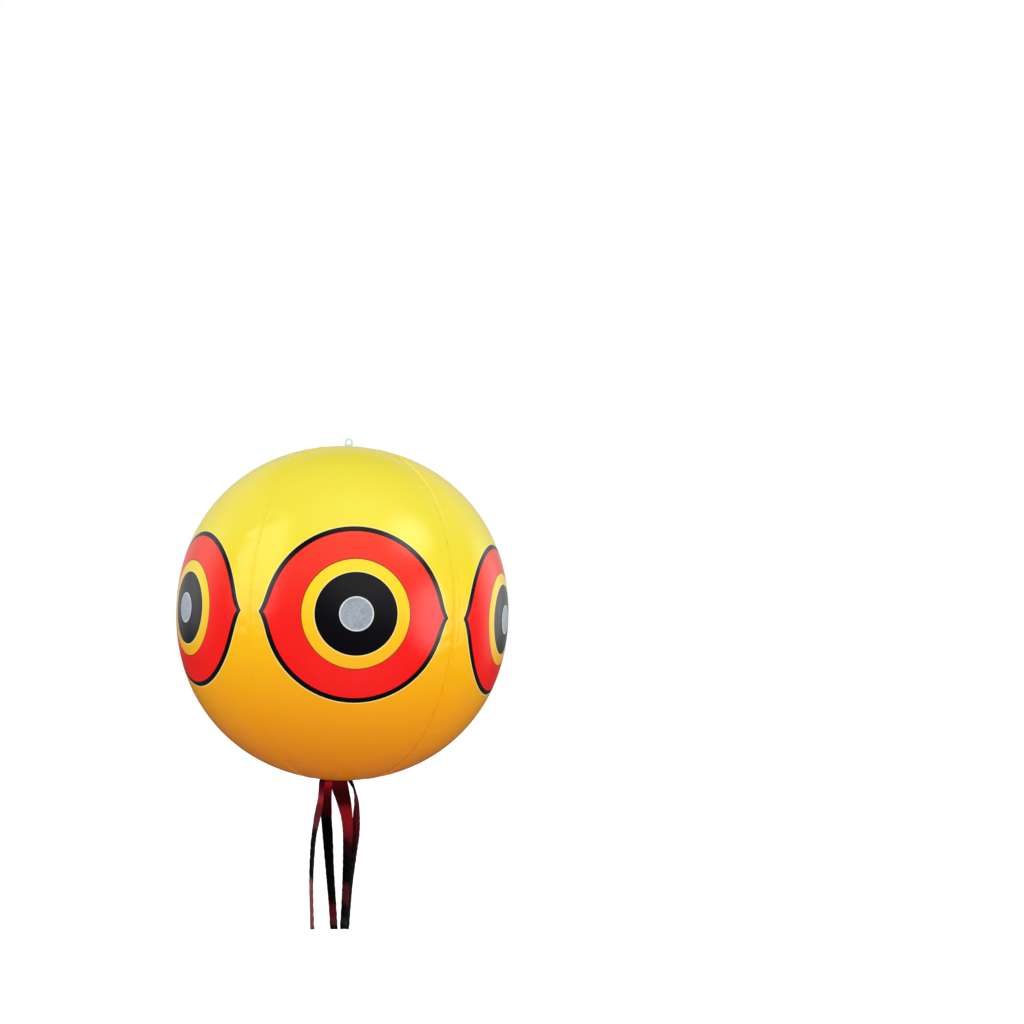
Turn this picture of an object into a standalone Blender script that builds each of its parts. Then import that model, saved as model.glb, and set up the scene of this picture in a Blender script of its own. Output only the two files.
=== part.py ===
import math

import bmesh
import bpy
from mathutils import Euler, Vector

MM = 0.001

# Shared values
FILM = 0.25 * MM  # PVC film of the ball
CLEARANCE = 0.3 * MM  # left between pieces that touch or are welded on the real ball
OVERRUN = 2 * MM  # how far a cutter runs past what it cuts
MERGE = 0.05 * MM  # points of a turned piece this close become one
CORNER_ANGLE = math.radians(30)  # a turned piece is shaded smooth up to corners sharper than this

# Ball, inflated
BALL_R = 200 * MM
PROFILE_POWER = 2.1  # superellipse power of the meridian: poles a little flat, full shoulders
GORE_COUNT = 6
GORE_END_R = 16 * MM  # the gores stop this far from the ball's axis, under the cap discs
PANEL_COLUMNS = 12
PANEL_ROWS = 26
SEAM_DIP = 1.2 * MM  # the weld draws the ball in along each seam
SEAM_DIP_POWER = 6
LAP_WIDTH = 7 * MM  # each gore's left edge lies over its neighbour and is welded over this width
LAP_RAMP = 1.5 * MM  # the neighbour steps down under it over this width

# Eye printed on each gore: radii along the film, as shares of the gore's half width at the equator
PRINT_SHARES = {
    "black disc": 0.3696,
    "yellow ring": 0.4861,
    "ring line": 0.4956,
    "red field": 0.7764,
    "outline": 0.8165,
    "corner": 0.8929,  # the tips of the pointed left and right corners
}

# Pupil sticker
PUPIL_R = 16 * MM
PUPIL_FILM = 0.15 * MM
PUPIL_RINGS = 2
PUPIL_SIDES = 24

# Cap discs over the poles
CAP_MARGIN = 2 * MM  # the discs reach past the streamers' strap by this much
CAP_RINGS = 4
CAP_SIDES = 30

# Hanging tab and its welded foot
TAB_WIDTH = 10 * MM
TAB_HEIGHT = 19 * MM  # top of the tab above the ball's pole
TAB_SHEET = 0.5 * MM
TAB_FOLD_GAP = 0.4 * MM  # the thin fold between tab and foot
EYELET_R = 3 * MM
EYELET_SIDES = 24
BEAD_RISE = 0.35 * MM  # the moulded bead round the eyelet stands out of each face of the tab by this
BEAD_SHARES = (0.35, 0.95)  # crest and foot of the bead, as shares of the tab's width beside the hole
FOOT_R = 13 * MM
FOOT_SHEET = 0.6 * MM
FOOT_RINGS = 3
FOOT_RIB = 0.75 * MM  # height of the rib that the tab folds on

# Inflation valve, on the centre line of one gore
VALVE_PANEL = 4
VALVE_LATITUDE = math.radians(57)
VALVE_SIDES = 24
STEM_R = 5.5 * MM
STEM_WALL = 1.6 * MM
STEM_LENGTH = 16 * MM
HOLE_MARGIN = 1.2 * MM  # the film's hole beyond the sliding stem
RIM_LIP = 1.2 * MM  # the stem's rim beyond the film's hole
RIM_HEIGHT = 1 * MM
BEAD_LIP = 1.2 * MM  # the bead on the stem's inner end, beyond the collar's bore
BEAD_HEIGHT = 1.2 * MM
COLLAR_WALL = 1.6 * MM
COLLAR_LENGTH = 3.2 * MM
FLANGE_WIDTH = 7.6 * MM
FLANGE_SHEET = 0.8 * MM
PLUG_INSET = 0.2 * MM  # the plug's head inside the rim's edge
PLUG_HEAD_HEIGHT = 1.2 * MM
PLUG_FIT = 0.4 * MM  # the plug's nose inside the stem's bore
PLUG_TAPER = 1 * MM
PLUG_NOSE_LENGTH = 5 * MM
PLUG_STRAP_WIDTH = 3.4 * MM
PLUG_STRAP_HEIGHT = 0.6 * MM
PLUG_STRAP_REACH = 2.6 * MM  # hinge of the plug's strap, beyond the stem's rim
FLAP_LAP = 0.9 * MM  # the flap beyond the bore that it closes
FLAP_SHEET = 0.4 * MM

# Strap under the ball that carries the streamers
STRAP_PAD = 6.5 * MM  # length of the weld pad at each end
STRAP_RAMP = 6.5 * MM  # length over which the strap leaves the ball
STRAP_MARGIN = 2 * MM  # flat bridge left outside the folded ribbons
STRAP_WIDTH = 5 * MM
STRAP_SHEET = 0.5 * MM
STRAP_DROP = 4 * MM  # underside of the ball to the strap's upper face
STRAP_PAD_ROWS = 2
STRAP_RAMP_ROWS = 4

# Streamers: two ribbons folded over the strap, four tails
RIBBON_FILM = 0.3 * MM
RIBBON_WIDTH = 18 * MM
BUNCH_SHARE = 1.17  # half of the folded ribbons' width side by side, as a share of one ribbon's width
FOLD_LEG = 5 * MM  # from the strap's upper face down to the fold's lower edges
FOLD_DOME = 1.2 * MM  # rise of the fold over the strap
FOLD_ROWS = 12
TAIL_HINGE_GAP = 0.4 * MM
TAIL_END = 395 * MM  # the tails' lower ends, below the ball's centre
TAIL_ROWS = 18
TAIL_BOW = 0.9 * MM  # the film is bowed across its width
# Each row of a tail: share of the tail's length, of the bunch's half width to the side,
# of the ribbon's width, and the turn of the ribbon about the vertical in degrees.
TAIL_SHARES = {
    "streamer_tail_1": (
        (0.0, -0.831, 0.39, 0),
        (0.07, -0.85, 0.45, -35),
        (0.14, -0.894, 0.6, -52),
        (0.25, -1.038, 1.0, -68),
        (0.34, -1.155, 1.0, -73),
        (0.44, -1.223, 1.0, -73),
        (0.67, -1.236, 1.0, -76),
        (1.0, -1.053, 1.0, -79),
    ),
    "streamer_tail_2": (
        (0.0, -0.425, 0.53, 0),
        (0.14, -0.451, 0.63, -20),
        (0.25, -0.475, 1.0, -43),
        (0.34, -0.391, 1.0, -43),
        (0.57, -0.189, 1.0, -53),
        (0.86, 0.102, 1.0, -59),
        (1.0, 0.222, 1.0, -62),
    ),
    "streamer_tail_3": (
        (0.0, 0.258, 1.04, 0),
        (0.07, 0.335, 1.16, -4),
        (0.14, 0.514, 1.08, -12),
        (0.25, 0.73, 1.0, -36),
        (0.34, 0.825, 1.0, -48),
        (0.44, 0.844, 1.0, -55),
        (0.64, 0.862, 1.0, -60),
        (0.86, 0.832, 1.0, -65),
        (1.0, 0.796, 1.0, -66),
    ),
    "streamer_tail_4": (
        (0.0, 0.869, 0.33, 0),
        (0.06, 1.127, 0.27, -50),
        (0.14, 1.271, 0.75, -68),
        (0.25, 1.295, 1.0, -65),
        (0.34, 1.304, 1.0, -67),
        (0.44, 1.254, 1.0, -72),
        (0.66, 1.145, 1.0, -84),
        (0.86, 1.071, 1.0, -86),
        (1.0, 1.042, 1.0, -86),
    ),
}

COLOURS = {
    "ink black": (0.004, 0.004, 0.006, 1),
    "ink red": (0.83, 0.02, 0.01, 1),
    "film yellow": (0.93, 0.64, 0.01, 1),
    "ink dark red": (0.25, 0.01, 0.01, 1),
}

# Sizes that follow from the ones above
GORE_HALF = math.pi * BALL_R / GORE_COUNT
STEM_BORE_R = STEM_R - STEM_WALL
COLLAR_BORE_R = STEM_R + CLEARANCE
VALVE_HOLE_R = COLLAR_BORE_R + HOLE_MARGIN
COLLAR_R = COLLAR_BORE_R + COLLAR_WALL
FLANGE_R = COLLAR_R + FLANGE_WIDTH
RIM_R = VALVE_HOLE_R + RIM_LIP
BEAD_R = COLLAR_BORE_R + BEAD_LIP
PLUG_HEAD_R = RIM_R - PLUG_INSET
PLUG_HINGE_REACH = RIM_R + PLUG_STRAP_REACH
PLUG_NOSE_R = STEM_BORE_R - PLUG_FIT
FLAP_R = STEM_BORE_R + FLAP_LAP
BUNCH_HALF = BUNCH_SHARE * RIBBON_WIDTH
BRIDGE_HALF = BUNCH_HALF + STRAP_MARGIN
CAP_R = BRIDGE_HALF + STRAP_RAMP + STRAP_PAD + CAP_MARGIN

# Levels, measured from the ball's centre
CAP_TOP = BALL_R + CLEARANCE + FILM
FOOT_TOP = CAP_TOP + CLEARANCE + FOOT_SHEET
TAB_BOTTOM = FOOT_TOP + FOOT_RIB + TAB_FOLD_GAP
FOLD_AXIS = TAB_BOTTOM - TAB_FOLD_GAP / 2
EYELET = BALL_R + TAB_HEIGHT - TAB_WIDTH / 2
STRAP_TOP = -(BALL_R + STRAP_DROP)
FOLD_DEPTH = STRAP_WIDTH / 2 + CLEARANCE  # inner faces of a fold's front and back legs, from the middle
FOLD_BOTTOM = STRAP_TOP - FOLD_LEG
TAIL_TOP = FOLD_BOTTOM - TAIL_HINGE_GAP
TAIL_HINGE = FOLD_BOTTOM - TAIL_HINGE_GAP / 2


def clear_scene():
    for item in list(bpy.data.objects):
        bpy.data.objects.remove(item, do_unlink=True)


def collection(name):
    made = bpy.data.collections.new(name)
    bpy.context.scene.collection.children.link(made)
    return made


def material(name, colour, roughness=0.4, metallic=0.0, alpha=1.0):
    made = bpy.data.materials.new(name)
    made.use_nodes = True
    shader = made.node_tree.nodes["Principled BSDF"]
    shader.inputs["Base Color"].default_value = (*colour, 1)
    shader.inputs["Roughness"].default_value = roughness
    shader.inputs["Metallic"].default_value = metallic
    shader.inputs["Alpha"].default_value = alpha
    made.diffuse_color = (*colour, alpha)
    return made


def math_node(tree, operation, first, second=None):
    node = tree.nodes.new("ShaderNodeMath")
    node.operation = operation
    for socket, value in zip(node.inputs, (first, second)):
        if isinstance(value, bpy.types.NodeSocket):
            tree.links.new(value, socket)
        elif value is not None:
            socket.default_value = value
    return node.outputs[0]


def printed_film(name):
    """Yellow PVC film with the printed eye: rings round the gore's middle, and two pointed corners."""
    made = material(name, COLOURS["film yellow"][:3], roughness=0.25)
    tree = made.node_tree
    place = tree.nodes.new("ShaderNodeSeparateXYZ")
    tree.links.new(tree.nodes.new("ShaderNodeTexCoord").outputs["Object"], place.inputs[0])
    x, y, z = place.outputs
    front = math_node(tree, "MULTIPLY", y, -1)
    across = math_node(tree, "MULTIPLY", math_node(tree, "ARCTAN2", x, front), BALL_R)
    ring = math_node(tree, "SQRT", math_node(tree, "ADD", math_node(tree, "MULTIPLY", x, x),
                                             math_node(tree, "MULTIPLY", y, y)))
    up = math_node(tree, "MULTIPLY", math_node(tree, "ARCTAN2", z, ring), BALL_R)
    distance = math_node(tree, "SQRT", math_node(tree, "ADD", math_node(tree, "MULTIPLY", across, across),
                                                 math_node(tree, "MULTIPLY", up, up)))
    eye = {band: share * GORE_HALF for band, share in PRINT_SHARES.items()}
    # A corner is bounded by the two tangents from its tip to the outer circle.
    tangent = math.acos(eye["outline"] / eye["corner"])
    side = math_node(tree, "ABSOLUTE", across)
    slant = math_node(tree, "ADD", math_node(tree, "MULTIPLY", side, math.cos(tangent)),
                      math_node(tree, "MULTIPLY", math_node(tree, "ABSOLUTE", up), math.sin(tangent)))
    beside = math_node(tree, "GREATER_THAN", side, eye["outline"] * math.cos(tangent))
    corner = math_node(tree, "ADD", slant, math_node(tree, "SUBTRACT", 1, beside))
    level = math_node(tree, "MINIMUM", distance, corner)
    ramp = tree.nodes.new("ShaderNodeValToRGB")
    ramp.color_ramp.interpolation = "CONSTANT"
    bands = (
        (0, "ink black"),
        (eye["black disc"], "film yellow"),
        (eye["yellow ring"], "ink dark red"),
        (eye["ring line"], "ink red"),
        (eye["red field"], "ink black"),
        (eye["outline"], "film yellow"),
    )
    stops = ramp.color_ramp.elements
    while len(stops) < len(bands):
        stops.new(1)
    for stop, (radius, ink) in zip(stops, bands):
        stop.position = radius / BALL_R
        stop.color = COLOURS[ink]
    tree.links.new(math_node(tree, "DIVIDE", level, BALL_R), ramp.inputs[0])
    tree.links.new(ramp.outputs[0], tree.nodes["Principled BSDF"].inputs["Base Color"])
    return made


def empty(name, location, rotation=(0, 0, 0), parent=None):
    """A named axis that moving pieces are parented to."""
    made = bpy.data.objects.new(name, None)
    made.empty_display_size = RIM_R
    pieces.objects.link(made)
    made.location = location
    made.rotation_euler = rotation
    attach(made, parent)
    return made


def attach(item, parent):
    """Parents an object and keeps the place that it was given in world coordinates."""
    bpy.context.view_layer.update()
    if parent:
        item.parent = parent
        item.matrix_parent_inverse = parent.matrix_world.inverted()


def piece(name, mesh, finish, location=(0, 0, 0), rotation=(0, 0, 0), parent=None):
    made = bpy.data.objects.new(name, mesh)
    pieces.objects.link(made)
    made.location = location
    made.rotation_euler = rotation
    if finish and not mesh.materials:
        mesh.materials.append(finish)
    attach(made, parent)
    return made


def helper(name, mesh, location, rotation=(0, 0, 0)):
    """A cutter, or a shape that a Boolean joins to a piece."""
    made = bpy.data.objects.new(name, mesh)
    cutters.objects.link(made)
    made.location = location
    made.rotation_euler = rotation
    made.hide_render = True
    made.display_type = "WIRE"
    return made


def boolean(target, tool, operation):
    modifier = target.modifiers.new(f"{operation} {tool.name}", "BOOLEAN")
    modifier.operation = operation
    modifier.object = tool
    modifier.solver = "EXACT"


def solidify(target, thickness, offset=-1):
    modifier = target.modifiers.new("Thickness", "SOLIDIFY")
    modifier.thickness = thickness
    modifier.offset = offset


def mapped_grid(name, columns, rows, point_of):
    """A flat grid with its corners moved to point_of(column, row)."""
    build = bmesh.new()
    bmesh.ops.create_grid(build, x_segments=columns, y_segments=rows, size=0.5)
    for corner in build.verts:
        column = round((corner.co.x + 0.5) * columns)
        row = round((corner.co.y + 0.5) * rows)
        corner.co = point_of(column, row)
    mesh = bpy.data.meshes.new(name)
    build.to_mesh(mesh)
    build.free()
    mesh.shade_smooth()
    return mesh


def applied(holder):
    """The mesh of an object as its modifiers or its curve settings leave it. The object is removed."""
    pieces.objects.link(holder)
    bpy.context.view_layer.update()
    graph = bpy.context.evaluated_depsgraph_get()
    mesh = bpy.data.meshes.new_from_object(holder.evaluated_get(graph))
    bpy.data.objects.remove(holder)
    return mesh


def turned_mesh(name, profile, sides, closed=False):
    """A shape turned about its own Z from a profile that runs from the top down its outer side."""
    edges = [(i, i + 1) for i in range(len(profile) - 1)]
    if closed:
        edges.append((len(profile) - 1, 0))
    line = bpy.data.meshes.new(name)
    line.from_pydata([(r, 0, z) for r, z in profile], edges, [])
    holder = bpy.data.objects.new(name, line)
    modifier = holder.modifiers.new("Turned", "SCREW")
    modifier.steps = sides
    modifier.render_steps = sides
    modifier.use_merge_vertices = True
    modifier.merge_threshold = MERGE
    mesh = applied(holder)
    mesh.shade_smooth()
    mesh.set_sharp_from_angle(angle=CORNER_ANGLE)
    return mesh


def flat_mesh(name, outline, thickness):
    """A flat outline in XY, filled, with half of its thickness on each side."""
    curve = bpy.data.curves.new(name, "CURVE")
    curve.dimensions = "2D"
    curve.fill_mode = "BOTH"
    curve.extrude = thickness / 2
    spline = curve.splines.new("POLY")
    spline.use_cyclic_u = True
    spline.points.add(len(outline) - 1)
    for point, (across, up) in zip(spline.points, outline):
        point.co = (across, up, 0, 1)
    mesh = applied(bpy.data.objects.new(name, curve))
    build = bmesh.new()
    build.from_mesh(mesh)
    bmesh.ops.remove_doubles(build, verts=build.verts, dist=MERGE)
    build.to_mesh(mesh)
    build.free()
    return mesh


def box(name, low, high):
    build = bmesh.new()
    bmesh.ops.create_cube(build, size=1)
    low, high = Vector(low), Vector(high)
    for corner in build.verts:
        corner.co = Vector(
            low[i] + (corner.co[i] + 0.5) * (high[i] - low[i]) for i in range(3)
        )
    mesh = bpy.data.meshes.new(name)
    build.to_mesh(mesh)
    build.free()
    return mesh


def cylinder(name, radius, low, high, sides):
    build = bmesh.new()
    bmesh.ops.create_cone(
        build, cap_ends=True, segments=sides, radius1=radius, radius2=radius, depth=high - low
    )
    bmesh.ops.translate(build, verts=build.verts, vec=(0, 0, (high + low) / 2))
    mesh = bpy.data.meshes.new(name)
    build.to_mesh(mesh)
    build.free()
    return mesh


def smooth_between(rows, at):
    """The values of a table at one place along it, on a smooth curve through its rows."""
    places = [row[0] for row in rows]
    i = max(k for k, place in enumerate(places[:-1]) if place <= at)
    before, start, end, after = (
        rows[max(i - 1, 0)], rows[i], rows[i + 1], rows[min(i + 2, len(rows) - 1)]
    )
    span = end[0] - start[0]
    t = (at - start[0]) / span
    found = []
    for a, b, c, d in zip(before[1:], start[1:], end[1:], after[1:]):
        into = (c - a) / (end[0] - before[0]) * span
        out = (d - b) / (after[0] - start[0]) * span
        found.append(
            (2 * t**3 - 3 * t**2 + 1) * b
            + (t**3 - 2 * t**2 + t) * into
            + (3 * t**2 - 2 * t**3) * c
            + (t**3 - t**2) * out
        )
    return found


# The ball's surface

def polar_radius(latitude):
    """From the ball's centre to its surface, on a superellipse meridian."""
    return BALL_R / (
        abs(math.cos(latitude)) ** PROFILE_POWER + abs(math.sin(latitude)) ** PROFILE_POWER
    ) ** (1 / PROFILE_POWER)


def height_at(ring):
    """Height of the ball's surface above its centre, at a distance from the axis near a pole."""
    return BALL_R * (1 - (ring / BALL_R) ** PROFILE_POWER) ** (1 / PROFILE_POWER)


def surface_normal(latitude):
    """Slope of the surface: the normal's part away from the axis, and its part upwards."""
    radius = polar_radius(latitude)
    away = (radius * math.cos(latitude)) ** (PROFILE_POWER - 1)
    up = (radius * math.sin(latitude)) ** (PROFILE_POWER - 1)
    size = math.hypot(away, up)
    return away / size, up / size


def gore_point(column, row):
    """A corner of the gore whose middle faces -Y, with the hidden lap under its right neighbour."""
    last = math.atan2(height_at(GORE_END_R), GORE_END_R)
    latitude = last * (2 * row / PANEL_ROWS - 1)
    ring = polar_radius(latitude) * math.cos(latitude)
    half = math.pi / GORE_COUNT
    left = -half - LAP_WIDTH / 2 / ring
    right = half - (LAP_WIDTH / 2 + CLEARANCE + LAP_RAMP) / ring
    inset = 0
    if column <= PANEL_COLUMNS:
        # Columns lie closer together towards the seams, where the film curves most.
        t = 2 * column / PANEL_COLUMNS - 1
        angle = (left + right) / 2 + (right - left) / 2 * (1.25 * t - 0.25 * t**3)
    else:
        inset = FILM + CLEARANCE
        if column == PANEL_COLUMNS + 1:
            angle = half - (LAP_WIDTH / 2 + CLEARANCE) / ring
        else:
            angle = half + LAP_WIDTH / 2 / ring
    near_seam = 1 - abs(abs(angle) - half) / half
    dip = SEAM_DIP * near_seam**SEAM_DIP_POWER * ring / BALL_R
    radius = polar_radius(latitude) - inset - dip
    return Vector((
        radius * math.cos(latitude) * math.sin(angle),
        -radius * math.cos(latitude) * math.cos(angle),
        radius * math.sin(latitude),
    ))


def dome_profile(outer_r, rings, under, over):
    """Section of a disc that follows the ball's pole, between two heights above its surface."""
    upper = [(outer_r * i / rings, height_at(outer_r * i / rings) + over) for i in range(rings + 1)]
    lower = [(r, z - over + under) for r, z in reversed(upper)]
    return upper + lower


def make_gores(swing):
    mesh = mapped_grid("gore_panel", PANEL_COLUMNS + 2, PANEL_ROWS, gore_point)
    for number in range(1, GORE_COUNT + 1):
        own = mesh.copy()
        turn = (number - 1) * 2 * math.pi / GORE_COUNT
        gore = piece(f"gore_panel_{number}", own, printed_film(f"printed_film_{number}"),
                     ball_centre, (0, 0, turn), swing)
        solidify(gore, FILM)
        if number == VALVE_PANEL:
            hole = helper("valve_hole_cutter", cylinder(
                "valve_hole_cutter", VALVE_HOLE_R, -OVERRUN, OVERRUN, VALVE_SIDES), valve_place, valve_turn)
            boolean(gore, hole, "DIFFERENCE")


def make_pupils(swing):
    """A thin reflective disc on the middle of each eye, following the ball."""
    finish = material("reflective_foil", (0.55, 0.58, 0.63), roughness=0.3, metallic=0.9)
    build = bmesh.new()
    bmesh.ops.create_circle(build, cap_ends=True, segments=PUPIL_SIDES, radius=PUPIL_R)
    for ring in range(1, PUPIL_RINGS):
        face = max(build.faces, key=lambda f: len(f.verts))
        bmesh.ops.inset_region(
            build, faces=[face], thickness=PUPIL_R / PUPIL_RINGS, use_boundary=True, use_even_offset=True
        )
    for corner in build.verts:
        across, up = corner.co.x / BALL_R, corner.co.y / BALL_R
        corner.co = Vector((math.sin(across) * math.cos(up), -math.cos(across) * math.cos(up), math.sin(up)))
        corner.co *= polar_radius(up) + CLEARANCE
    mesh = bpy.data.meshes.new("pupil_sticker")
    build.to_mesh(mesh)
    build.free()
    for number in range(1, GORE_COUNT + 1):
        turn = (number - 1) * 2 * math.pi / GORE_COUNT
        sticker = piece(f"pupil_sticker_{number}", mesh, finish, ball_centre, (0, 0, turn), swing)
        solidify(sticker, PUPIL_FILM, offset=1)


def make_caps(swing):
    finish = material("cap_film", (0.93, 0.64, 0.01), roughness=0.25)
    section = dome_profile(CAP_R, CAP_RINGS, CLEARANCE, CLEARANCE + FILM)
    for name, flip in (("top_cap_disc", 0), ("bottom_cap_disc", math.pi)):
        piece(name, turned_mesh(name, section, CAP_SIDES), finish, ball_centre, (flip, 0, 0), swing)


def circle_points(radius, sides, arc):
    return [
        (radius * math.cos(arc * i / sides), radius * math.sin(arc * i / sides)) for i in range(sides)
    ]


def make_hanging_tab(swing):
    """The tab that the ball hangs by, and the foot on the top cap that it folds on."""
    clear = material("clear_pvc_tab", (0.72, 0.86, 0.82), roughness=0.15, alpha=0.5)
    half = TAB_WIDTH / 2
    foot_level = TAB_BOTTOM - EYELET
    upright = (math.pi / 2, 0, 0)
    edge = circle_points(half, EYELET_SIDES, math.pi) + [(-half, 0), (-half, foot_level), (half, foot_level)]
    tab = piece("hanging_tab", flat_mesh("hanging_tab", edge, TAB_SHEET), clear, (0, 0, 0), upright)
    crest = TAB_SHEET / 2 + BEAD_RISE
    crest_r, base_r = (EYELET_R + share * (half - EYELET_R) for share in BEAD_SHARES)
    bead = helper("eyelet_bead", turned_mesh("eyelet_bead", [
        (0, crest),
        (crest_r, crest),
        (base_r, 0),
        (crest_r, -crest),
        (0, -crest),
    ], EYELET_SIDES), (0, 0, 0), upright)
    boolean(tab, bead, "UNION")
    hole = helper("eyelet_cutter", cylinder(
        "eyelet_cutter", EYELET_R, -OVERRUN, OVERRUN, EYELET_SIDES), (0, 0, 0), upright)
    boolean(tab, hole, "DIFFERENCE")

    under = 2 * CLEARANCE + FILM
    section = dome_profile(FOOT_R, FOOT_RINGS, under, under + FOOT_SHEET)
    foot = piece("tab_foot", turned_mesh("tab_foot", section, CAP_SIDES),
                 clear, ball_centre, (0, 0, 0), swing)
    rib = helper("tab_foot_rib", box(
        "tab_foot_rib",
        (-half, -TAB_SHEET / 2, FOOT_TOP - FOOT_SHEET / 2),
        (half, TAB_SHEET / 2, FOOT_TOP + FOOT_RIB),
    ), ball_centre)
    boolean(foot, rib, "UNION")


def valve_point(x, y, z):
    """World place of a point given from the valve's hole, with z outwards along its axis."""
    return valve_place + Euler(valve_turn).to_matrix() @ Vector((x, y, z))


def make_valve(swing):
    """Push-in valve: flange and collar inside the film, sliding stem, plug on a strap, check flap."""
    vinyl = material("valve_vinyl", (0.85, 0.86, 0.84), roughness=0.3, alpha=0.7)
    slide_axis = empty("valve_axis", valve_place, valve_turn, swing)

    # The film's flat facets lie inside the true curve by up to this much.
    facet = 2 * BALL_R * (1 - math.cos(math.pi / 2 / PANEL_ROWS))
    sag = FLANGE_R**2 / 2 / BALL_R
    upper = -(FILM + CLEARANCE + facet)
    collar_end = upper - FLANGE_SHEET - COLLAR_LENGTH
    piece("valve_flange", turned_mesh("valve_flange", [
        (FLANGE_R, upper - sag),
        (FLANGE_R, upper - sag - FLANGE_SHEET),
        (COLLAR_R, upper - sag / 2 - FLANGE_SHEET),
        (COLLAR_R, collar_end),
        (COLLAR_BORE_R, collar_end),
        (COLLAR_BORE_R, upper),
    ], VALVE_SIDES, closed=True), vinyl, valve_place, valve_turn, slide_axis)

    rim_top = CLEARANCE + RIM_HEIGHT
    stem_end = CLEARANCE - STEM_LENGTH
    stem = piece("valve_stem", turned_mesh("valve_stem", [
        (RIM_R, rim_top),
        (RIM_R, CLEARANCE),
        (STEM_R, CLEARANCE),
        (STEM_R, stem_end + BEAD_HEIGHT),
        (BEAD_R, stem_end + BEAD_HEIGHT),
        (BEAD_R, stem_end),
        (STEM_BORE_R, stem_end),
        (STEM_BORE_R, rim_top),
    ], VALVE_SIDES, closed=True), vinyl, valve_place, valve_turn, slide_axis)
    lug = helper("stem_lug", box(
        "stem_lug",
        (RIM_R - RIM_LIP, -PLUG_STRAP_WIDTH / 2, CLEARANCE),
        (PLUG_HINGE_REACH, PLUG_STRAP_WIDTH / 2, rim_top),
    ), valve_place, valve_turn)
    boolean(stem, lug, "UNION")

    head_under = rim_top + CLEARANCE
    hinge = empty("plug_hinge_axis", valve_point(PLUG_HINGE_REACH, 0, rim_top + CLEARANCE / 2),
                  valve_turn, slide_axis)
    plug = piece("valve_plug", turned_mesh("valve_plug", [
        (0, head_under + PLUG_HEAD_HEIGHT),
        (PLUG_HEAD_R, head_under + PLUG_HEAD_HEIGHT),
        (PLUG_HEAD_R, head_under),
        (PLUG_NOSE_R, head_under),
        (PLUG_NOSE_R - PLUG_TAPER, head_under - PLUG_NOSE_LENGTH),
        (0, head_under - PLUG_NOSE_LENGTH),
    ], VALVE_SIDES), vinyl, valve_place, valve_turn, hinge)
    strap = helper("plug_strap", box(
        "plug_strap",
        (PLUG_HEAD_R - RIM_LIP, -PLUG_STRAP_WIDTH / 2, head_under),
        (PLUG_HINGE_REACH, PLUG_STRAP_WIDTH / 2, head_under + PLUG_STRAP_HEIGHT),
    ), valve_place, valve_turn)
    boolean(plug, strap, "UNION")

    flap_top = stem_end - CLEARANCE
    flap_hinge = empty("flap_hinge_axis", valve_point(-FLAP_R, 0, flap_top), valve_turn, slide_axis)
    piece("valve_flap", cylinder("valve_flap", FLAP_R, flap_top - FLAP_SHEET, flap_top, VALVE_SIDES),
          vinyl, valve_place, valve_turn, flap_hinge)
    travel = collar_end - CLEARANCE - (stem_end + BEAD_HEIGHT)
    print(f"valve stem travels {travel / MM:.2f} mm")


def make_streamer_strap(swing):
    """The clear strap under the ball: a weld pad at each end, and the flat bridge between them."""
    clear = material("clear_pvc_strap", (0.72, 0.86, 0.82), roughness=0.15, alpha=0.5)
    ramp = [(BRIDGE_HALF + STRAP_RAMP * i / STRAP_RAMP_ROWS, i / STRAP_RAMP_ROWS)
            for i in range(STRAP_RAMP_ROWS + 1)]
    pad = [(BRIDGE_HALF + STRAP_RAMP + STRAP_PAD * i / STRAP_PAD_ROWS, 1)
           for i in range(1, STRAP_PAD_ROWS + 1)]
    half = ramp + pad
    stations = [(-x, rise) for x, rise in reversed(half)] + [(0, 0)] + half

    def strap_point(column, row):
        x, rise = stations[row]
        y = STRAP_WIDTH * (column / 2 - 0.5)
        welded = -(height_at(math.hypot(x, y)) + 2 * CLEARANCE + FILM)
        return Vector((x, y, STRAP_TOP + (welded - STRAP_TOP) * rise**2 * (3 - 2 * rise)))

    strap = piece("streamer_strap", mapped_grid("streamer_strap", 2, len(stations) - 1, strap_point),
                  clear, ball_centre, (0, 0, 0), swing)
    solidify(strap, STRAP_SHEET, offset=1)


def make_fold(name, front, back, finish, swing):
    """The middle of one ribbon, folded over the strap from its front tail to its back tail."""
    (_, first, narrow, _), (_, last, wide, _) = TAIL_SHARES[front][0], TAIL_SHARES[back][0]
    leg_rows = FOLD_ROWS // 3

    def fold_point(column, row):
        along = row / FOLD_ROWS
        centre = (first + (last - first) * along) * BUNCH_HALF
        width = (narrow + (wide - narrow) * along) * RIBBON_WIDTH
        turn = math.pi * min(max(row - leg_rows, 0) / (FOLD_ROWS - 2 * leg_rows), 1)
        y = -FOLD_DEPTH * math.cos(turn)
        into_leg = max(leg_rows - row, row - (FOLD_ROWS - leg_rows), 0)
        rise = FOLD_DOME * math.sin(turn) - FOLD_LEG * into_leg / leg_rows
        return Vector((centre + width * (column / 2 - 0.5), y, STRAP_TOP + rise))

    fold = piece(name, mapped_grid(name, 2, FOLD_ROWS, fold_point), finish, ball_centre, (0, 0, 0), swing)
    solidify(fold, RIBBON_FILM, offset=1)


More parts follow.
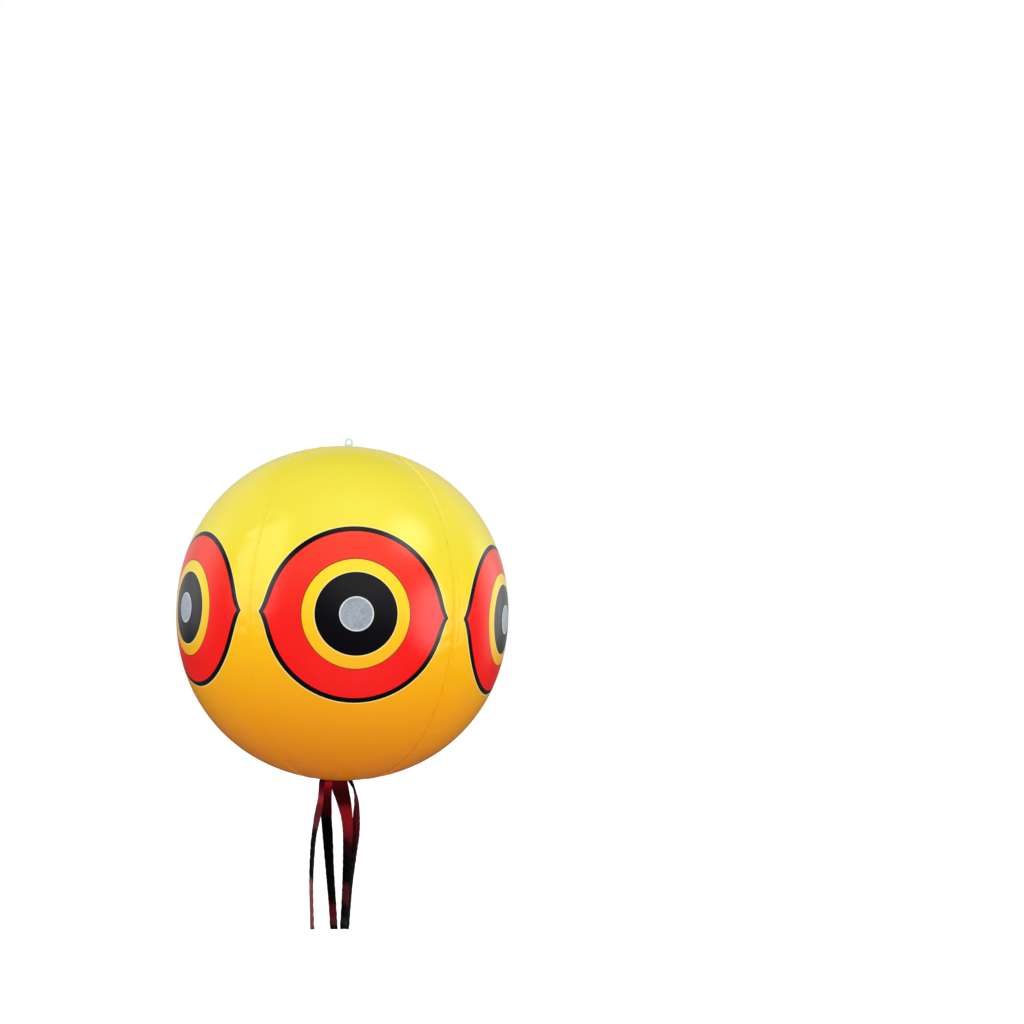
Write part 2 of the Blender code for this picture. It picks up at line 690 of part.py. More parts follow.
def make_tail(name, side, finish, swing):
    """One hanging tail, hinged at the lower edge of its fold. Side is -1 in front and 1 behind."""
    depth = side * (FOLD_DEPTH + RIBBON_FILM / 2)
    rows = TAIL_SHARES[name]

    def tail_point(column, row):
        along = row / TAIL_ROWS
        aside, width, degrees = smooth_between(rows, along)
        turn = math.radians(degrees)
        across = width * RIBBON_WIDTH * (column / 2 - 0.5)
        bow = TAIL_BOW * (1 - abs(column - 1)) * min(along / rows[1][0], 1)
        return Vector((
            aside * BUNCH_HALF + across * math.cos(turn) - bow * math.sin(turn),
            depth + across * math.sin(turn) + bow * math.cos(turn),
            TAIL_TOP - (TAIL_END + TAIL_TOP) * along,
        ))

    hinge = empty(f"{name}_axis", ball_centre + Vector((0, depth, TAIL_HINGE)), parent=swing)
    tail = piece(name, mapped_grid(name, 2, TAIL_ROWS, tail_point), finish, ball_centre, (0, 0, 0), hinge)
    solidify(tail, RIBBON_FILM, offset=0)


def make_streamers(swing):
    finish = material("metallised_film", (0.2, 0.01, 0.02), roughness=0.2, metallic=0.7)
    for name, front, back in (
        ("streamer_fold_left", "streamer_tail_1", "streamer_tail_2"),
        ("streamer_fold_right", "streamer_tail_4", "streamer_tail_3"),
    ):
        make_fold(name, front, back, finish, swing)
        make_tail(front, -1, finish, swing)
        make_tail(back, 1, finish, swing)


clear_scene()
pieces = collection("bird scare balloon")
cutters = collection("cutters")

ball_centre = Vector((0, 0, -EYELET))
valve_away, valve_up = surface_normal(VALVE_LATITUDE)
panel_turn = 2 * math.pi * (VALVE_PANEL - 1) / GORE_COUNT - math.pi
valve_turn = (-math.atan2(valve_away, valve_up), 0, panel_turn)
valve_radius = polar_radius(VALVE_LATITUDE)
valve_place = ball_centre + Euler((0, 0, panel_turn)).to_matrix() @ Vector(
    (0, valve_radius * math.cos(VALVE_LATITUDE), valve_radius * math.sin(VALVE_LATITUDE))
)

ball_swing = empty("ball_swing_axis", ball_centre + Vector((0, 0, FOLD_AXIS)))
make_hanging_tab(ball_swing)
make_gores(ball_swing)
make_pupils(ball_swing)
make_caps(ball_swing)
make_valve(ball_swing)
make_streamer_strap(ball_swing)
make_streamers(ball_swing)
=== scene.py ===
import math
from functools import partial

import bmesh
import bpy
import numpy as np
from mathutils import Matrix, Quaternion, Vector


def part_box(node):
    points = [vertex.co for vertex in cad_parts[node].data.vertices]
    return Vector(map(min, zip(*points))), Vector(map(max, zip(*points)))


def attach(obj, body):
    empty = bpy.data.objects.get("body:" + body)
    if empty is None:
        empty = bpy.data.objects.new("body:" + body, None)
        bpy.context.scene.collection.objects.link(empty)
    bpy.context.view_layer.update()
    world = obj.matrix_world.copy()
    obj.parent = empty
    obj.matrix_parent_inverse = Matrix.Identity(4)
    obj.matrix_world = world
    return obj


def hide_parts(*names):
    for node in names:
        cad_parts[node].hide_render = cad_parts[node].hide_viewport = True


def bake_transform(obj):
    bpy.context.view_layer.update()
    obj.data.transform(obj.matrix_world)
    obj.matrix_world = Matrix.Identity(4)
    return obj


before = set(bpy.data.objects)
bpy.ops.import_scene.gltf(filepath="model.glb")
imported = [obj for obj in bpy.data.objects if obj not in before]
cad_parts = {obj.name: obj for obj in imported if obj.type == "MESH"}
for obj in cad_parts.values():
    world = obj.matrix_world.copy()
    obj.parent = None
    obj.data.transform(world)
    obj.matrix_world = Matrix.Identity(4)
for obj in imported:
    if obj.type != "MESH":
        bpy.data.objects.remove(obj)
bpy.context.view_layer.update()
bpy.context.scene.view_settings.view_transform = "Standard"
mm = 0.001


def hexColour(text):
    # sRGB hex to the linear values that Blender's sockets take
    channels = [int(text[i:i + 2], 16) / 255 for i in (1, 3, 5)]
    return [c / 12.92 if c <= 0.04045 else ((c + 0.055) / 1.055) ** 2.4 for c in channels] + [1]


def plug(node, sockets):
    # sets or links a node's inputs, by order or by name
    for key, value in (sockets.items() if isinstance(sockets, dict) else enumerate(sockets)):
        if isinstance(value, bpy.types.NodeSocket):
            node.id_data.links.new(value, node.inputs[key])
        else:
            node.inputs[key].default_value = value


def addNode(tree, kind, sockets=(), out=0, **settings):
    # adds one node with its settings and inputs, and gives back one output; shader nodes go without their
    # prefix, and a kind such as "Math ADD" names the operation too
    kind, _, operation = kind.partition(" ")
    made = tree.nodes.new(kind if "Node" in kind else "ShaderNode" + kind)
    if operation:
        made.operation = operation
    for name, value in settings.items():
        setattr(made, name, value)
    plug(made, sockets)
    return made.outputs[out] if made.outputs else made


def surfaceMaterial(name):
    # a new material, the function that adds to its tree, and its Principled shader
    made = bpy.data.materials.new(name)
    made.use_nodes = True
    return made, partial(addNode, made.node_tree), made.node_tree.nodes["Principled BSDF"]


def cloudedPlastic(name, width, tones, roughness, sockets, grain=None, **clouding):
    # a plastic whose tone and gloss drift together in soft clouds, with a fine grain where one is given
    made, add, shader = surfaceMaterial(name)
    place = add("TexCoord", out="Object")
    clouds = add("TexNoise", {"Vector": place, "Scale": 1 / width, **clouding})
    dark, light = [hexColour(tone) for tone in tones]
    colour = add("Mix", {0: clouds, 6: dark, 7: light}, out=2, data_type="RGBA")
    smoothest, roughest = roughness
    rough = add("MapRange", {"Value": clouds, "To Min": smoothest, "To Max": roughest})
    plug(shader, {"Base Color": colour, "Roughness": rough, **sockets})
    if grain:
        size, strength, depth = grain
        fine = add("TexNoise", {"Vector": place, "Scale": 1 / size, "Detail": 2})
        plug(shader, {"Normal": add("Bump", {"Strength": strength, "Distance": depth, "Height": fine})})
    return made


def addStops(ramp, stops):
    # positions and hex colours, in order
    elements = ramp.node.color_ramp.elements
    while len(elements) < len(stops):
        elements.new(1)
    for element, (position, colour) in zip(elements, stops):
        element.position = position
        element.color = hexColour(colour)


def newObject(name, data):
    made = bpy.data.objects.new(name, data)
    bpy.context.scene.collection.objects.link(made)
    return made


def plainMesh(holder, name):
    # what the modifiers leave, as a plain mesh on a new object; the holder goes
    bpy.context.view_layer.update()
    mesh = bpy.data.meshes.new_from_object(holder.evaluated_get(bpy.context.evaluated_depsgraph_get()))
    bpy.data.objects.remove(holder)
    mesh.name = name
    return newObject(name, mesh)


def finishedMesh(build, name, matrix=Matrix()):
    build.transform(matrix)
    mesh = bpy.data.meshes.new(name)
    build.to_mesh(mesh)
    build.free()
    return mesh


def cleaned(build, name, matrix=Matrix()):
    # a bmesh with its doubles merged and its faces outwards, put in place, as a new mesh
    bmesh.ops.remove_doubles(build, verts=build.verts, dist=0.002 * mm)
    bmesh.ops.recalc_face_normals(build, faces=build.faces)
    return finishedMesh(build, name, matrix)


def softened(profile, radius, steps=4, most=0.45):
    # the same outline with its inner corners rounded, by at most this share of a side; the two ends stay
    points = [Vector(profile[0])]
    for before, corner, after in zip(profile, profile[1:], profile[2:]):
        corner = Vector(corner)
        first, last = [(Vector(end) - corner).normalized() * min(radius, (Vector(end) - corner).length * most)
                       for end in (before, after)]
        for step in range(steps + 1):
            share = step / steps
            points.append(corner + first * (1 - share) ** 2 + last * share ** 2)
    return points + [Vector(profile[-1])]


def turnedMesh(name, profile, sides, matrix=Matrix()):
    # (radius, height) pairs spun about Z
    build = bmesh.new()
    corners = [build.verts.new((radius, 0, height)) for radius, height in profile]
    edges = [build.edges.new(pair) for pair in zip(corners, corners[1:])]
    bmesh.ops.spin(build, geom=corners + edges, axis=(0, 0, 1), cent=(0, 0, 0), steps=sides,
                   angle=2 * math.pi, use_merge=True)
    return cleaned(build, name, matrix)


def barMesh(name, low, high, edge, matrix=Matrix()):
    # a box with rounded edges
    build = bmesh.new()
    size = Vector(high) - Vector(low)
    middle = (Vector(high) + Vector(low)) / 2
    bmesh.ops.create_cube(build, size=1, matrix=Matrix.Translation(middle) @ Matrix.Diagonal((*size, 1)))
    bmesh.ops.bevel(build, geom=build.edges[:], offset=edge, segments=3, affect="EDGES", profile=0.5)
    return cleaned(build, name, matrix)


def joinRings(build, rings):
    # the faces between closed rings of corners, each with its row and its place on the ring
    for row, (ring, after) in enumerate(zip(rings, rings[1:])):
        for place in range(len(ring)):
            along = (place + 1) % len(ring)
            yield row, place, build.faces.new((ring[place], ring[along], after[along], after[place]))


def combined(name, mesh, tools):
    # one mesh joined with or cut by others, in turn
    holder = newObject(name, mesh)
    helpers = [newObject(f"{name}_{kind.lower()}_{place}", tool) for place, (kind, tool) in enumerate(tools)]
    for (kind, tool), helper in zip(tools, helpers):
        cut = holder.modifiers.new(kind, "BOOLEAN")
        cut.operation = kind
        cut.object = helper
    result = plainMesh(holder, name)
    for helper in helpers:
        bpy.data.objects.remove(helper)
    return result


def smoothed(piece, material, slot, body, *nodes, angle=35):
    # finish, slot (not used), body and the nodes that the piece stands for
    piece.data.materials.clear()
    piece.data.materials.append(material)
    piece.data.shade_smooth()
    piece.data.set_sharp_from_angle(angle=math.radians(angle))
    if nodes:
        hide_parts(*nodes)
    if body:
        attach(piece, body)


def eased(share):
    # a smooth step from 0 to 1
    return share ** 2 * (3 - 2 * share)


def groove(along, pitch):
    # 0 on a weld's crests, 1 in its grooves
    return 0.5 - 0.5 * math.cos(2 * math.pi * along / pitch)


# Ball: its centre comes from the frame

goreLow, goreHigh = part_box("gore_panel_1")
ball = {
    "centre": Vector((0, 0, (goreLow.z + goreHigh.z) / 2)),
    "radius": 200 * mm,
    "power": 2.1,  # superellipse power of the meridian
    "gores": 6,
    "endRadius": 16 * mm,  # where the gores end under the cap discs
    "columns": 108,
    "rows": 240,
    "crowding": 0.45,  # how much closer together the columns lie at the seams
    "film": 0.25 * mm,
    "gap": 0.3 * mm,  # between a gore and what is welded on it
    "lap": 7 * mm,
    "lapGap": 0.06 * mm,  # between the two films of a lap
    "lapRamp": 1.5 * mm,
    "seamDip": 1.2 * mm,
    "dipPower": 6,  # how near to the seam the film dips
    "puckerHeight": 0.55 * mm,
    "puckerReach": 30 * mm,  # the weld's puckers fade out over this
    "puckerPitch": 11 * mm,
    "puckerNoise": (0.35, 0.62),  # where a pucker starts and is whole, in the noise
    "puckerInWeld": 0.25,  # share of a pucker that the weld leaves
    "seedStep": 7,  # keeps the noise of one seam's two sides apart
    "weldPitch": 2.2 * mm,
    "weldRib": (5.4 * mm, 0.8 * mm, 0.16 * mm),
    "ribEdge": 0.06 * mm,
}
halfGore = math.pi / ball["gores"]
atCentre = Matrix.Translation(ball["centre"])


def heightAt(ring):
    # the ball's surface above its centre, near a pole
    return ball["radius"] * (1 - (ring / ball["radius"]) ** ball["power"]) ** (1 / ball["power"])


def reachAt(latitude):
    # the ball's surface from its centre, along a latitude
    total = math.cos(latitude) ** ball["power"] + abs(math.sin(latitude)) ** ball["power"]
    return ball["radius"] * total ** (-1 / ball["power"])


def fromCentre(add, place):
    # a place as the ball's centre sees it: back, up, azimuth from the front to the right, elevation
    centred = add("VectorMath SUBTRACT", (place, ball["centre"]))
    x, y, z = add("SeparateXYZ", (centred,)).node.outputs
    front = add("Math MULTIPLY", (y, -1))
    azimuth = add("Math ARCTAN2", (x, front))
    level = add("CombineXYZ", (x, y))
    ring = add("VectorMath LENGTH", (level,), out=1)
    elevation = add("Math ARCTAN2", (z, ring))
    return y, z, azimuth, elevation


# Camera: close by, level with the ball's centre

view = {
    "distance": 740 * mm,  # from the ball's centre
    "lens": 20.8,
    "turn": 3.75,  # the front eye faces this far to the camera's right, degrees
    "roll": 2.2,  # the ball leans clockwise by this, degrees
    "ballPixel": (342.3, 613.3),
    "picture": 1024,
}
print("camera")
angle = math.radians(view["turn"])
camera = newObject("camera", bpy.data.cameras.new("camera"))
camera.data.lens = view["lens"]
camera.data.sensor_width = 36
camera.data.clip_start = 10 * mm
camera.location = ball["centre"] + view["distance"] * Vector((-math.sin(angle), -math.cos(angle), 0))
look = (ball["centre"] - camera.location).to_track_quat("-Z", "Y")
camera.rotation_mode = "QUATERNION"
camera.rotation_quaternion = look @ Quaternion((0, 0, 1), math.radians(view["roll"]))
camera.data.shift_x = 0.5 - view["ballPixel"][0] / view["picture"]
camera.data.shift_y = view["ballPixel"][1] / view["picture"] - 0.5
bpy.context.scene.camera = camera

# Studio: pale floor, white surroundings, soft lamps, and a dark tent that only reflections see

studio = {
    "floorLevel": -1600 * mm,
    "floorHalf": 8,
    "floorGlow": 0.46,  # brings the lit floor up to the white behind it
    "tentRadius": 1300 * mm,
    "ambient": 0.82,
    # direction from the ball's centre, distance, width, height, power in watts
    "lamps": {
        "topLamp": ((0.15, -0.6, 0.78), 1.15, 1.6, 1.1, 2.5),
        "leftLamp": ((-0.74, -0.42, 0.34), 1.15, 0.45, 1.0, 1.9),
        "rightLamp": ((0.88, -0.47, 0.1), 1.15, 0.2, 0.9, 1.3),
        "frontFill": ((0.1, -1, -0.35), 1.6, 1.4, 1.4, 5.0),
    },
    # what the gloss mirrors on the tent: azimuth from the front to the right, elevation, half width, half
    # height in degrees, share of it that is fully bright, radiance
    "glows": {
        "frontPanel": (10, 18, 48, 28, 0.1, 0.45),
        "topPanel": (5, 58, 60, 24, 0.3, 0.6),
        "topRightPanel": (46, 41, 27, 19, 0.15, 3.4),
        "leftPanel": (-57, 22, 17, 33, 0.6, 1.8),
        "rightPanel": (53, 1, 24, 22, 0.3, 3.0),
        "leftWall": (-102, 12, 22, 34, 0.3, 0.4),
        "rightWall": (106, 8, 22, 30, 0.3, 0.7),
    },
    "farGlow": 0.5,  # radiance of the tent's far side
    # where that glow starts and is whole, in tent radii: backwards, over the horizon, down from the top
    "farFade": (-0.2, 0.3),
    "horizonFade": (-0.25, 0.1),
    "topFade": (0.93, 0.7),
    "belowHorizon": 0.12,  # share of it that is left there
}
print("studio")


def whiteBehind(add, strength, white=1):
    # white for rays that should meet the background, strength for the light on the object
    path = add("LightPath").node
    seen = path.outputs["Is Camera Ray"]
    for kind in ("Is Glossy Ray", "Is Transmission Ray"):
        seen = add("Math MAXIMUM", (seen, path.outputs[kind]))
    return add("MapRange", {"Value": seen, "To Min": strength, "To Max": white})


world = bpy.data.worlds.new("studioWhite")
bpy.context.scene.world = world
world.use_nodes = True
world.cycles.sampling_method = "NONE"  # found by the rays themselves, so the tent hides it from reflections
strength = whiteBehind(partial(addNode, world.node_tree), studio["ambient"])
plug(world.node_tree.nodes["Background"], {"Color": hexColour("#FFFFFF"), "Strength": strength})

for lampName, (direction, distance, width, height, power) in studio["lamps"].items():
    lamp = bpy.data.lights.new(lampName, "AREA")
    lamp.shape = "RECTANGLE"
    lamp.size = width
    lamp.size_y = height
    lamp.energy = power
    lampObject = newObject(lampName, lamp)
    away = Vector(direction).normalized()
    lampObject.location = ball["centre"] + distance * away
    lampObject.rotation_mode = "QUATERNION"
    lampObject.rotation_quaternion = (-away).to_track_quat("-Z", "Y")
    lampObject.visible_glossy = False

# The floor is pale matt vinyl: its glow makes it as white as the surroundings and leaves the object's shadow.
floorMaterial, add, shader = surfaceMaterial("paleMattVinylFloor")
plug(shader, {
    "Base Color": hexColour("#EEEEEE"), "Roughness": 0.9, "Specular IOR Level": 0,
    "Emission Color": hexColour("#FFFFFF"), "Emission Strength": whiteBehind(add, 0, studio["floorGlow"])})
floorMesh = bpy.data.meshes.new("floor")
half = studio["floorHalf"]
corners = [(x * half, y * half, studio["floorLevel"]) for x, y in ((-1, -1), (1, -1), (1, 1), (-1, 1))]
floorMesh.from_pydata(corners, [], [(0, 1, 2, 3)])
floorMesh.materials.append(floorMaterial)
floor = newObject("floor", floorMesh)

# The tent is dark cotton cloth with soft light panels behind it. Its far side glows above the horizon.
tentMaterial, add, shader = surfaceMaterial("backlitStudioCotton")
tentMaterial.cycles.emission_sampling = "NONE"
y, z, azimuth, elevation = fromCentre(add, add("TexCoord", out="Object"))
glow = studio["farGlow"]
for along, fade, least in ((y, "farFade", 0), (z, "horizonFade", studio["belowHorizon"]), (z, "topFade", 0)):
    start, whole = [share * studio["tentRadius"] for share in studio[fade]]
    lit = add("MapRange", {"Value": along, "From Min": start, "From Max": whole, "To Min": least},
              interpolation_type="SMOOTHSTEP")
    glow = add("Math MULTIPLY", (glow, lit))
bearing = add("CombineXYZ", (azimuth, elevation))
bearing = add("VectorMath SCALE", {0: bearing, "Scale": math.degrees(1)})
for sideways, upwards, halfWide, halfHigh, bright, radiance in studio["glows"].values():
    fromPanel = add("VectorMath SUBTRACT", (bearing, (sideways, upwards, 0)))
    fromPanel = add("VectorMath DIVIDE", (fromPanel, (halfWide, halfHigh, 1)))
    share = add("VectorMath LENGTH", (fromPanel,), out=1)
    panel = add("MapRange", {"Value": share, "From Min": 1, "From Max": bright, "To Max": radiance},
                interpolation_type="SMOOTHERSTEP")
    glow = add("Math ADD", (glow, panel))
plug(shader, {"Emission Strength": glow, "Emission Color": hexColour("#FFFFFF"),
              "Base Color": hexColour("#0C0C0C"), "Specular IOR Level": 0, "Roughness": 1})
build = bmesh.new()
bmesh.ops.create_uvsphere(build, u_segments=48, v_segments=24, radius=studio["tentRadius"])
tent = newObject("studioTent", finishedMesh(build, "studioTent", atCentre))
tent.data.materials.append(tentMaterial)
tent.visible_camera = False
tent.visible_diffuse = False
tent.visible_shadow = False
tent.visible_transmission = False

# Printed PVC film of the ball: calendered film, screen printed, glossy. The inks lie flat in the gloss. The
# yellow is painted deeper and darker low down: painted shade for the light that has gone through the film
# twice.

printing = {
    "blackDisc": 38.7 * mm,
    "yellowRing": 50.9 * mm,
    "ringLine": 51.9 * mm,
    "outline": (88.2 * mm, 84.7 * mm),  # half width and half height of the oval, without its tips
    "outlineWidth": 5.2 * mm,
    "sink": 0.9 * mm,  # the oval sits this much low
    "tip": 6.6 * mm,  # how far the eye's corners stand out of the oval
    "tipFade": 8.5 * mm,  # up and down from the corner, the tip falls off over this
    "paleEdge": 0.8 * mm,
}
inks = {"black": "#0B0B10", "darkRed": "#9C2C14", "pale": "#F8EC9A"}
# share of the ball's height, colour; the yellows hold painted shade low down, the reds a painted sheen high
# up
yellowsWithPaintedShade = ((0.0, "#D87400"), (0.12, "#E28200"), (0.3, "#F6A600"), (0.45, "#FBC202"), (0.58, "#F6DA20"),
           (0.7, "#F0E03C"), (1.0, "#EEDF44"))
redsWithPaintedSheen = ((0.25, "#F60402"), (0.5, "#F81812"), (0.75, "#F4462A"))
film = {
    "slack": 26 * mm,  # noise width of the broad, shallow unevenness
    "slackStrength": 0.18,
    "slackDepth": 0.4 * mm,
    "grain": 3 * mm,
    "grainStrength": 0.12,
    "grainDepth": 0.1 * mm,
    "roughness": (0.17, 0.27),
    "ior": 1.54,
}


def colourByHeight(add, place, colours):
    # spreads the stops over the ball's height; the film's stops hold painted shade and a painted sheen
    z = add("SeparateXYZ", (place,), out="Z")
    low, high = [ball["centre"].z + way * ball["radius"] for way in (-1, 1)]
    share = add("MapRange", {"Value": z, "From Min": low, "From Max": high})
    ramp = add("ValToRGB", (share,))
    addStops(ramp, colours)
    return ramp


def plainYellow(add, place):
    # the film's yellow, with its painted shade low down
    return colourByHeight(add, place, yellowsWithPaintedShade)


def eyePrint(add, place):
    # measured along the film from the middle of each gore
    _, _, azimuth, elevation = fromCentre(add, place)
    onGore = add("Math WRAP", (azimuth, halfGore, -halfGore))
    across = add("Math MULTIPLY", (onGore, ball["radius"]))
    up = add("Math MULTIPLY", (elevation, ball["radius"]))
    flat = add("CombineXYZ", (across, up))
    distance = add("VectorMath LENGTH", (flat,), out=1)
    # the oval: its tips are taken back in, then it is squeezed to a circle of its half height
    halfWidth, halfHeight = printing["outline"]
    lowered = add("Math ADD", (up, printing["sink"]))
    side, above = [add("Math ABSOLUTE", (offset,)) for offset in (across, lowered)]
    fade = add("Math MULTIPLY", (above, -1 / printing["tipFade"]))
    fade = add("Math EXPONENT", (fade,))
    tipped = add("Math MULTIPLY_ADD", (fade, -printing["tip"], side))
    tipped = add("Math MAXIMUM", (tipped, 0))
    squeezed = add("Math MULTIPLY", (tipped, halfHeight / halfWidth))
    flat = add("CombineXYZ", (squeezed, lowered))
    oval = add("VectorMath LENGTH", (flat,), out=1)
    yellow = plainYellow(add, place)
    black, darkRed, pale = [hexColour(inks[ink]) for ink in ("black", "darkRed", "pale")]
    colour = yellow
    # the red inside the outline is painted paler high up, a painted sheen
    for level, radius, ink in (
        (oval, halfHeight + printing["paleEdge"], pale),
        (oval, halfHeight, black),
        (oval, halfHeight - printing["outlineWidth"], colourByHeight(add, place, redsWithPaintedSheen)),
        (distance, printing["ringLine"], darkRed),
        (distance, printing["yellowRing"], yellow),
        (distance, printing["blackDisc"] + printing["paleEdge"], pale),
        (distance, printing["blackDisc"], black),
    ):
        inside = add("Math LESS_THAN", (level, radius))
        colour = add("Mix", {0: inside, 6: colour, 7: ink}, out=2, data_type="RGBA")
    return colour


def filmMaterial(name, colouring):
    # its slack and the fine grain of the calender break up what the gloss mirrors
    made, add, shader = surfaceMaterial(name)
    place = add("TexCoord", out="Object")
    slack, grain = [add("TexNoise", {"Vector": place, "Scale": 1 / film[size], "Detail": 2})
                    for size in ("slack", "grain")]
    bump = add("Bump", {"Strength": film["slackStrength"], "Distance": film["slackDepth"], "Height": slack})
    bump = add("Bump", {
        "Strength": film["grainStrength"], "Distance": film["grainDepth"], "Height": grain, "Normal": bump})
    smoothest, roughest = film["roughness"]
    rough = add("MapRange", {"Value": slack, "To Min": smoothest, "To Max": roughest})
    plug(shader, {
        "Base Color": colouring(add, place), "Normal": bump, "Roughness": rough, "IOR": film["ior"]})
    return made


# Geometry Nodes: the meridian is a group that the gores and the weld ribs share

socketKinds = {
    "columns": "Int", "rows": "Int", "seams": "Int", "copies": "Int", "rib": "Vector", "place": "Vector",
    "centre": "Vector", "piece": "Object", "material": "Material", "Geometry": "Geometry",
}


def treeWith(name, inputs, outputs=("Geometry",)):
    # a node tree with named inputs and outputs, each a number where socketKinds doesn't say otherwise
    made = bpy.data.node_groups.new(name, "GeometryNodeTree")
    for way, labels in (("INPUT", inputs), ("OUTPUT", outputs)):
        for label in labels:
            kind = "NodeSocket" + socketKinds.get(label, "Float")
            made.interface.new_socket(label, in_out=way, socket_type=kind)
    add = partial(addNode, made)
    return add, add("NodeGroupInput").node.outputs, add("NodeGroupOutput")


def finishTree(add, given, result, geometry):
    real = add("GeometryNodeRealizeInstances", (geometry,))
    coated = add("GeometryNodeSetMaterial", {"Geometry": real, "Material": given["material"]})
    plug(result, (coated,))
    return result.id_data


def meridianTree():
    # latitude and azimuth to a place on the ball, with a height added along the radius
    add, given, result = treeWith(
        "meridian", ("latitude", "azimuth", "raised", "radius", "power"), ("place", "ring"))
    cosine, sine, forwards, sideways = [
        add("Math " + operation, (given[turn],))
        for turn in ("latitude", "azimuth") for operation in ("COSINE", "SINE")]
    upwards = add("Math ABSOLUTE", (sine,))
    away, upwards = [add("Math POWER", (part, given["power"])) for part in (cosine, upwards)]
    total = add("Math ADD", (away, upwards))
    root = add("Math DIVIDE", (-1, given["power"]))
    share = add("Math POWER", (total, root))
    reach = add("Math MULTIPLY_ADD", (share, given["radius"], given["raised"]))
    ring, z = [add("Math MULTIPLY", (reach, part)) for part in (cosine, sine)]
    x, front = [add("Math MULTIPLY", (ring, part)) for part in (sideways, forwards)]
    y = add("Math MULTIPLY", (front, -1))
    plug(result, (add("CombineXYZ", (x, y, z)), ring))
    return result.id_data


def gridForBall(add, given, meridian, width, columns):
    # a flat grid whose rows stand for latitudes: the grid, the place across it, the latitude, what the
    # meridian needs, and the ball's ring there
    grid = add("GeometryNodeMeshGrid", {
        "Size X": width, "Size Y": 2, "Vertices X": given[columns], "Vertices Y": given["rows"]})
    place = add("GeometryNodeInputPosition")
    across, v, _ = add("SeparateXYZ", (place,)).node.outputs
    latitude = add("Math MULTIPLY", (v, given["lastLatitude"]))
    shape = {"radius": given["radius"], "power": given["power"], "latitude": latitude}
    ring = add("GeometryNodeGroup", shape, out="ring", node_tree=meridian)
    return grid, across, latitude, shape, ring


def laidOnBall(add, given, meridian, grid, shape, azimuth, raised):
    place = add("GeometryNodeGroup", {**shape, "azimuth": azimuth, "raised": raised}, node_tree=meridian)
    moved = add("VectorMath ADD", (place, given["centre"]))
    return add("GeometryNodeSetPosition", {"Geometry": grid, "Position": moved})


def goreTree(meridian):
    # one gore: a grid laid on the ball, drawn in and puckered at its welds, its right edge under the next
    add, given, result = treeWith("inflatedGore", (
        "columns", "rows", "radius", "power", "lastLatitude", "halfAngle", "lap", "lapRamp", "lapInset",
        "seamDip", "puckerHeight", "puckerReach", "puckerPitch", "seed", "turn", "centre", "material"))
    grid, s, latitude, shape, ring = gridForBall(add, given, meridian, 2, "columns")
    # columns lie closer together towards the seams
    cubed = add("Math POWER", (s, 3))
    cubed = add("Math MULTIPLY", (cubed, -ball["crowding"]))
    spread = add("Math MULTIPLY_ADD", (s, 1 + ball["crowding"], cubed))
    halfLap = add("Math MULTIPLY", (given["lap"], 0.5))
    lapAngle = add("Math DIVIDE", (halfLap, ring))
    edge = add("Math ADD", (given["halfAngle"], lapAngle))
    azimuth = add("Math MULTIPLY", (spread, edge))
    # signed distances to the two seam lines, along the film
    toRight, toLeft = [add("Math " + operation, (given["halfAngle"], azimuth))
                       for operation in ("SUBTRACT", "ADD")]
    toRight, toLeft = [add("Math MULTIPLY", (turn, ring)) for turn in (toRight, toLeft)]
    nearest = add("Math MINIMUM", (toLeft, toRight))
    fromSeam = add("Math ABSOLUTE", (nearest,))
    # from the weld's edge into the gore: the right edge comes up from under the next gore, the puckers fade
    # out, and the share of them that the weld leaves grows to the whole
    rampEnd = add("Math ADD", (halfLap, given["lapRamp"]))
    inset, fade, outside = [
        add("MapRange", {
            "Value": away, "From Min": halfLap, "From Max": end, "To Min": first, "To Max": last,
        }, interpolation_type=kind)
        for away, end, first, last, kind in (
            (toRight, rampEnd, given["lapInset"], 0, "SMOOTHSTEP"),
            (fromSeam, given["puckerReach"], 1, 0, "SMOOTHERSTEP"),
            (fromSeam, rampEnd, ball["puckerInWeld"], 1, "SMOOTHSTEP"))]
    # the weld draws the film in
    width = add("Math MULTIPLY", (given["halfAngle"], ring))
    nearSeam = add("Math DIVIDE", (fromSeam, width))
    nearSeam = add("Math SUBTRACT", (1, nearSeam))
    nearSeam = add("Math POWER", (nearSeam, ball["dipPower"]))
    slim = add("Math DIVIDE", (ring, given["radius"]))
    dip = given["seamDip"]
    for share in (nearSeam, slim):
        dip = add("Math MULTIPLY", (dip, share))
    # puckers stand square to the weld, only inwards
    height = add("Math MULTIPLY", (latitude, given["radius"]))
    alongNoise = add("Math DIVIDE", (height, given["puckerPitch"]))
    acrossNoise = add("Math DIVIDE", (nearest, given["puckerReach"]))
    sideSeed = add("Math GREATER_THAN", (azimuth, 0))
    sideSeed = add("Math SUBTRACT", (given["seed"], sideSeed))
    sideSeed = add("Math MULTIPLY", (sideSeed, ball["seedStep"]))
    spot = add("CombineXYZ", (acrossNoise, alongNoise, sideSeed))
    noise = add("TexNoise", {"Vector": spot, "Scale": 1, "Detail": 1})
    start, whole = ball["puckerNoise"]
    pucker = add("MapRange", {"Value": noise, "From Min": start, "From Max": whole},
                 interpolation_type="SMOOTHSTEP")
    for share in (fade, outside, slim, given["puckerHeight"]):
        pucker = add("Math MULTIPLY", (pucker, share))
    depth = add("Math ADD", (inset, dip))
    depth = add("Math ADD", (depth, pucker))
    raised = add("Math MULTIPLY", (depth, -1))
    turned = add("Math ADD", (azimuth, given["turn"]))
    return finishTree(add, given, result, laidOnBall(add, given, meridian, grid, shape, turned, raised))


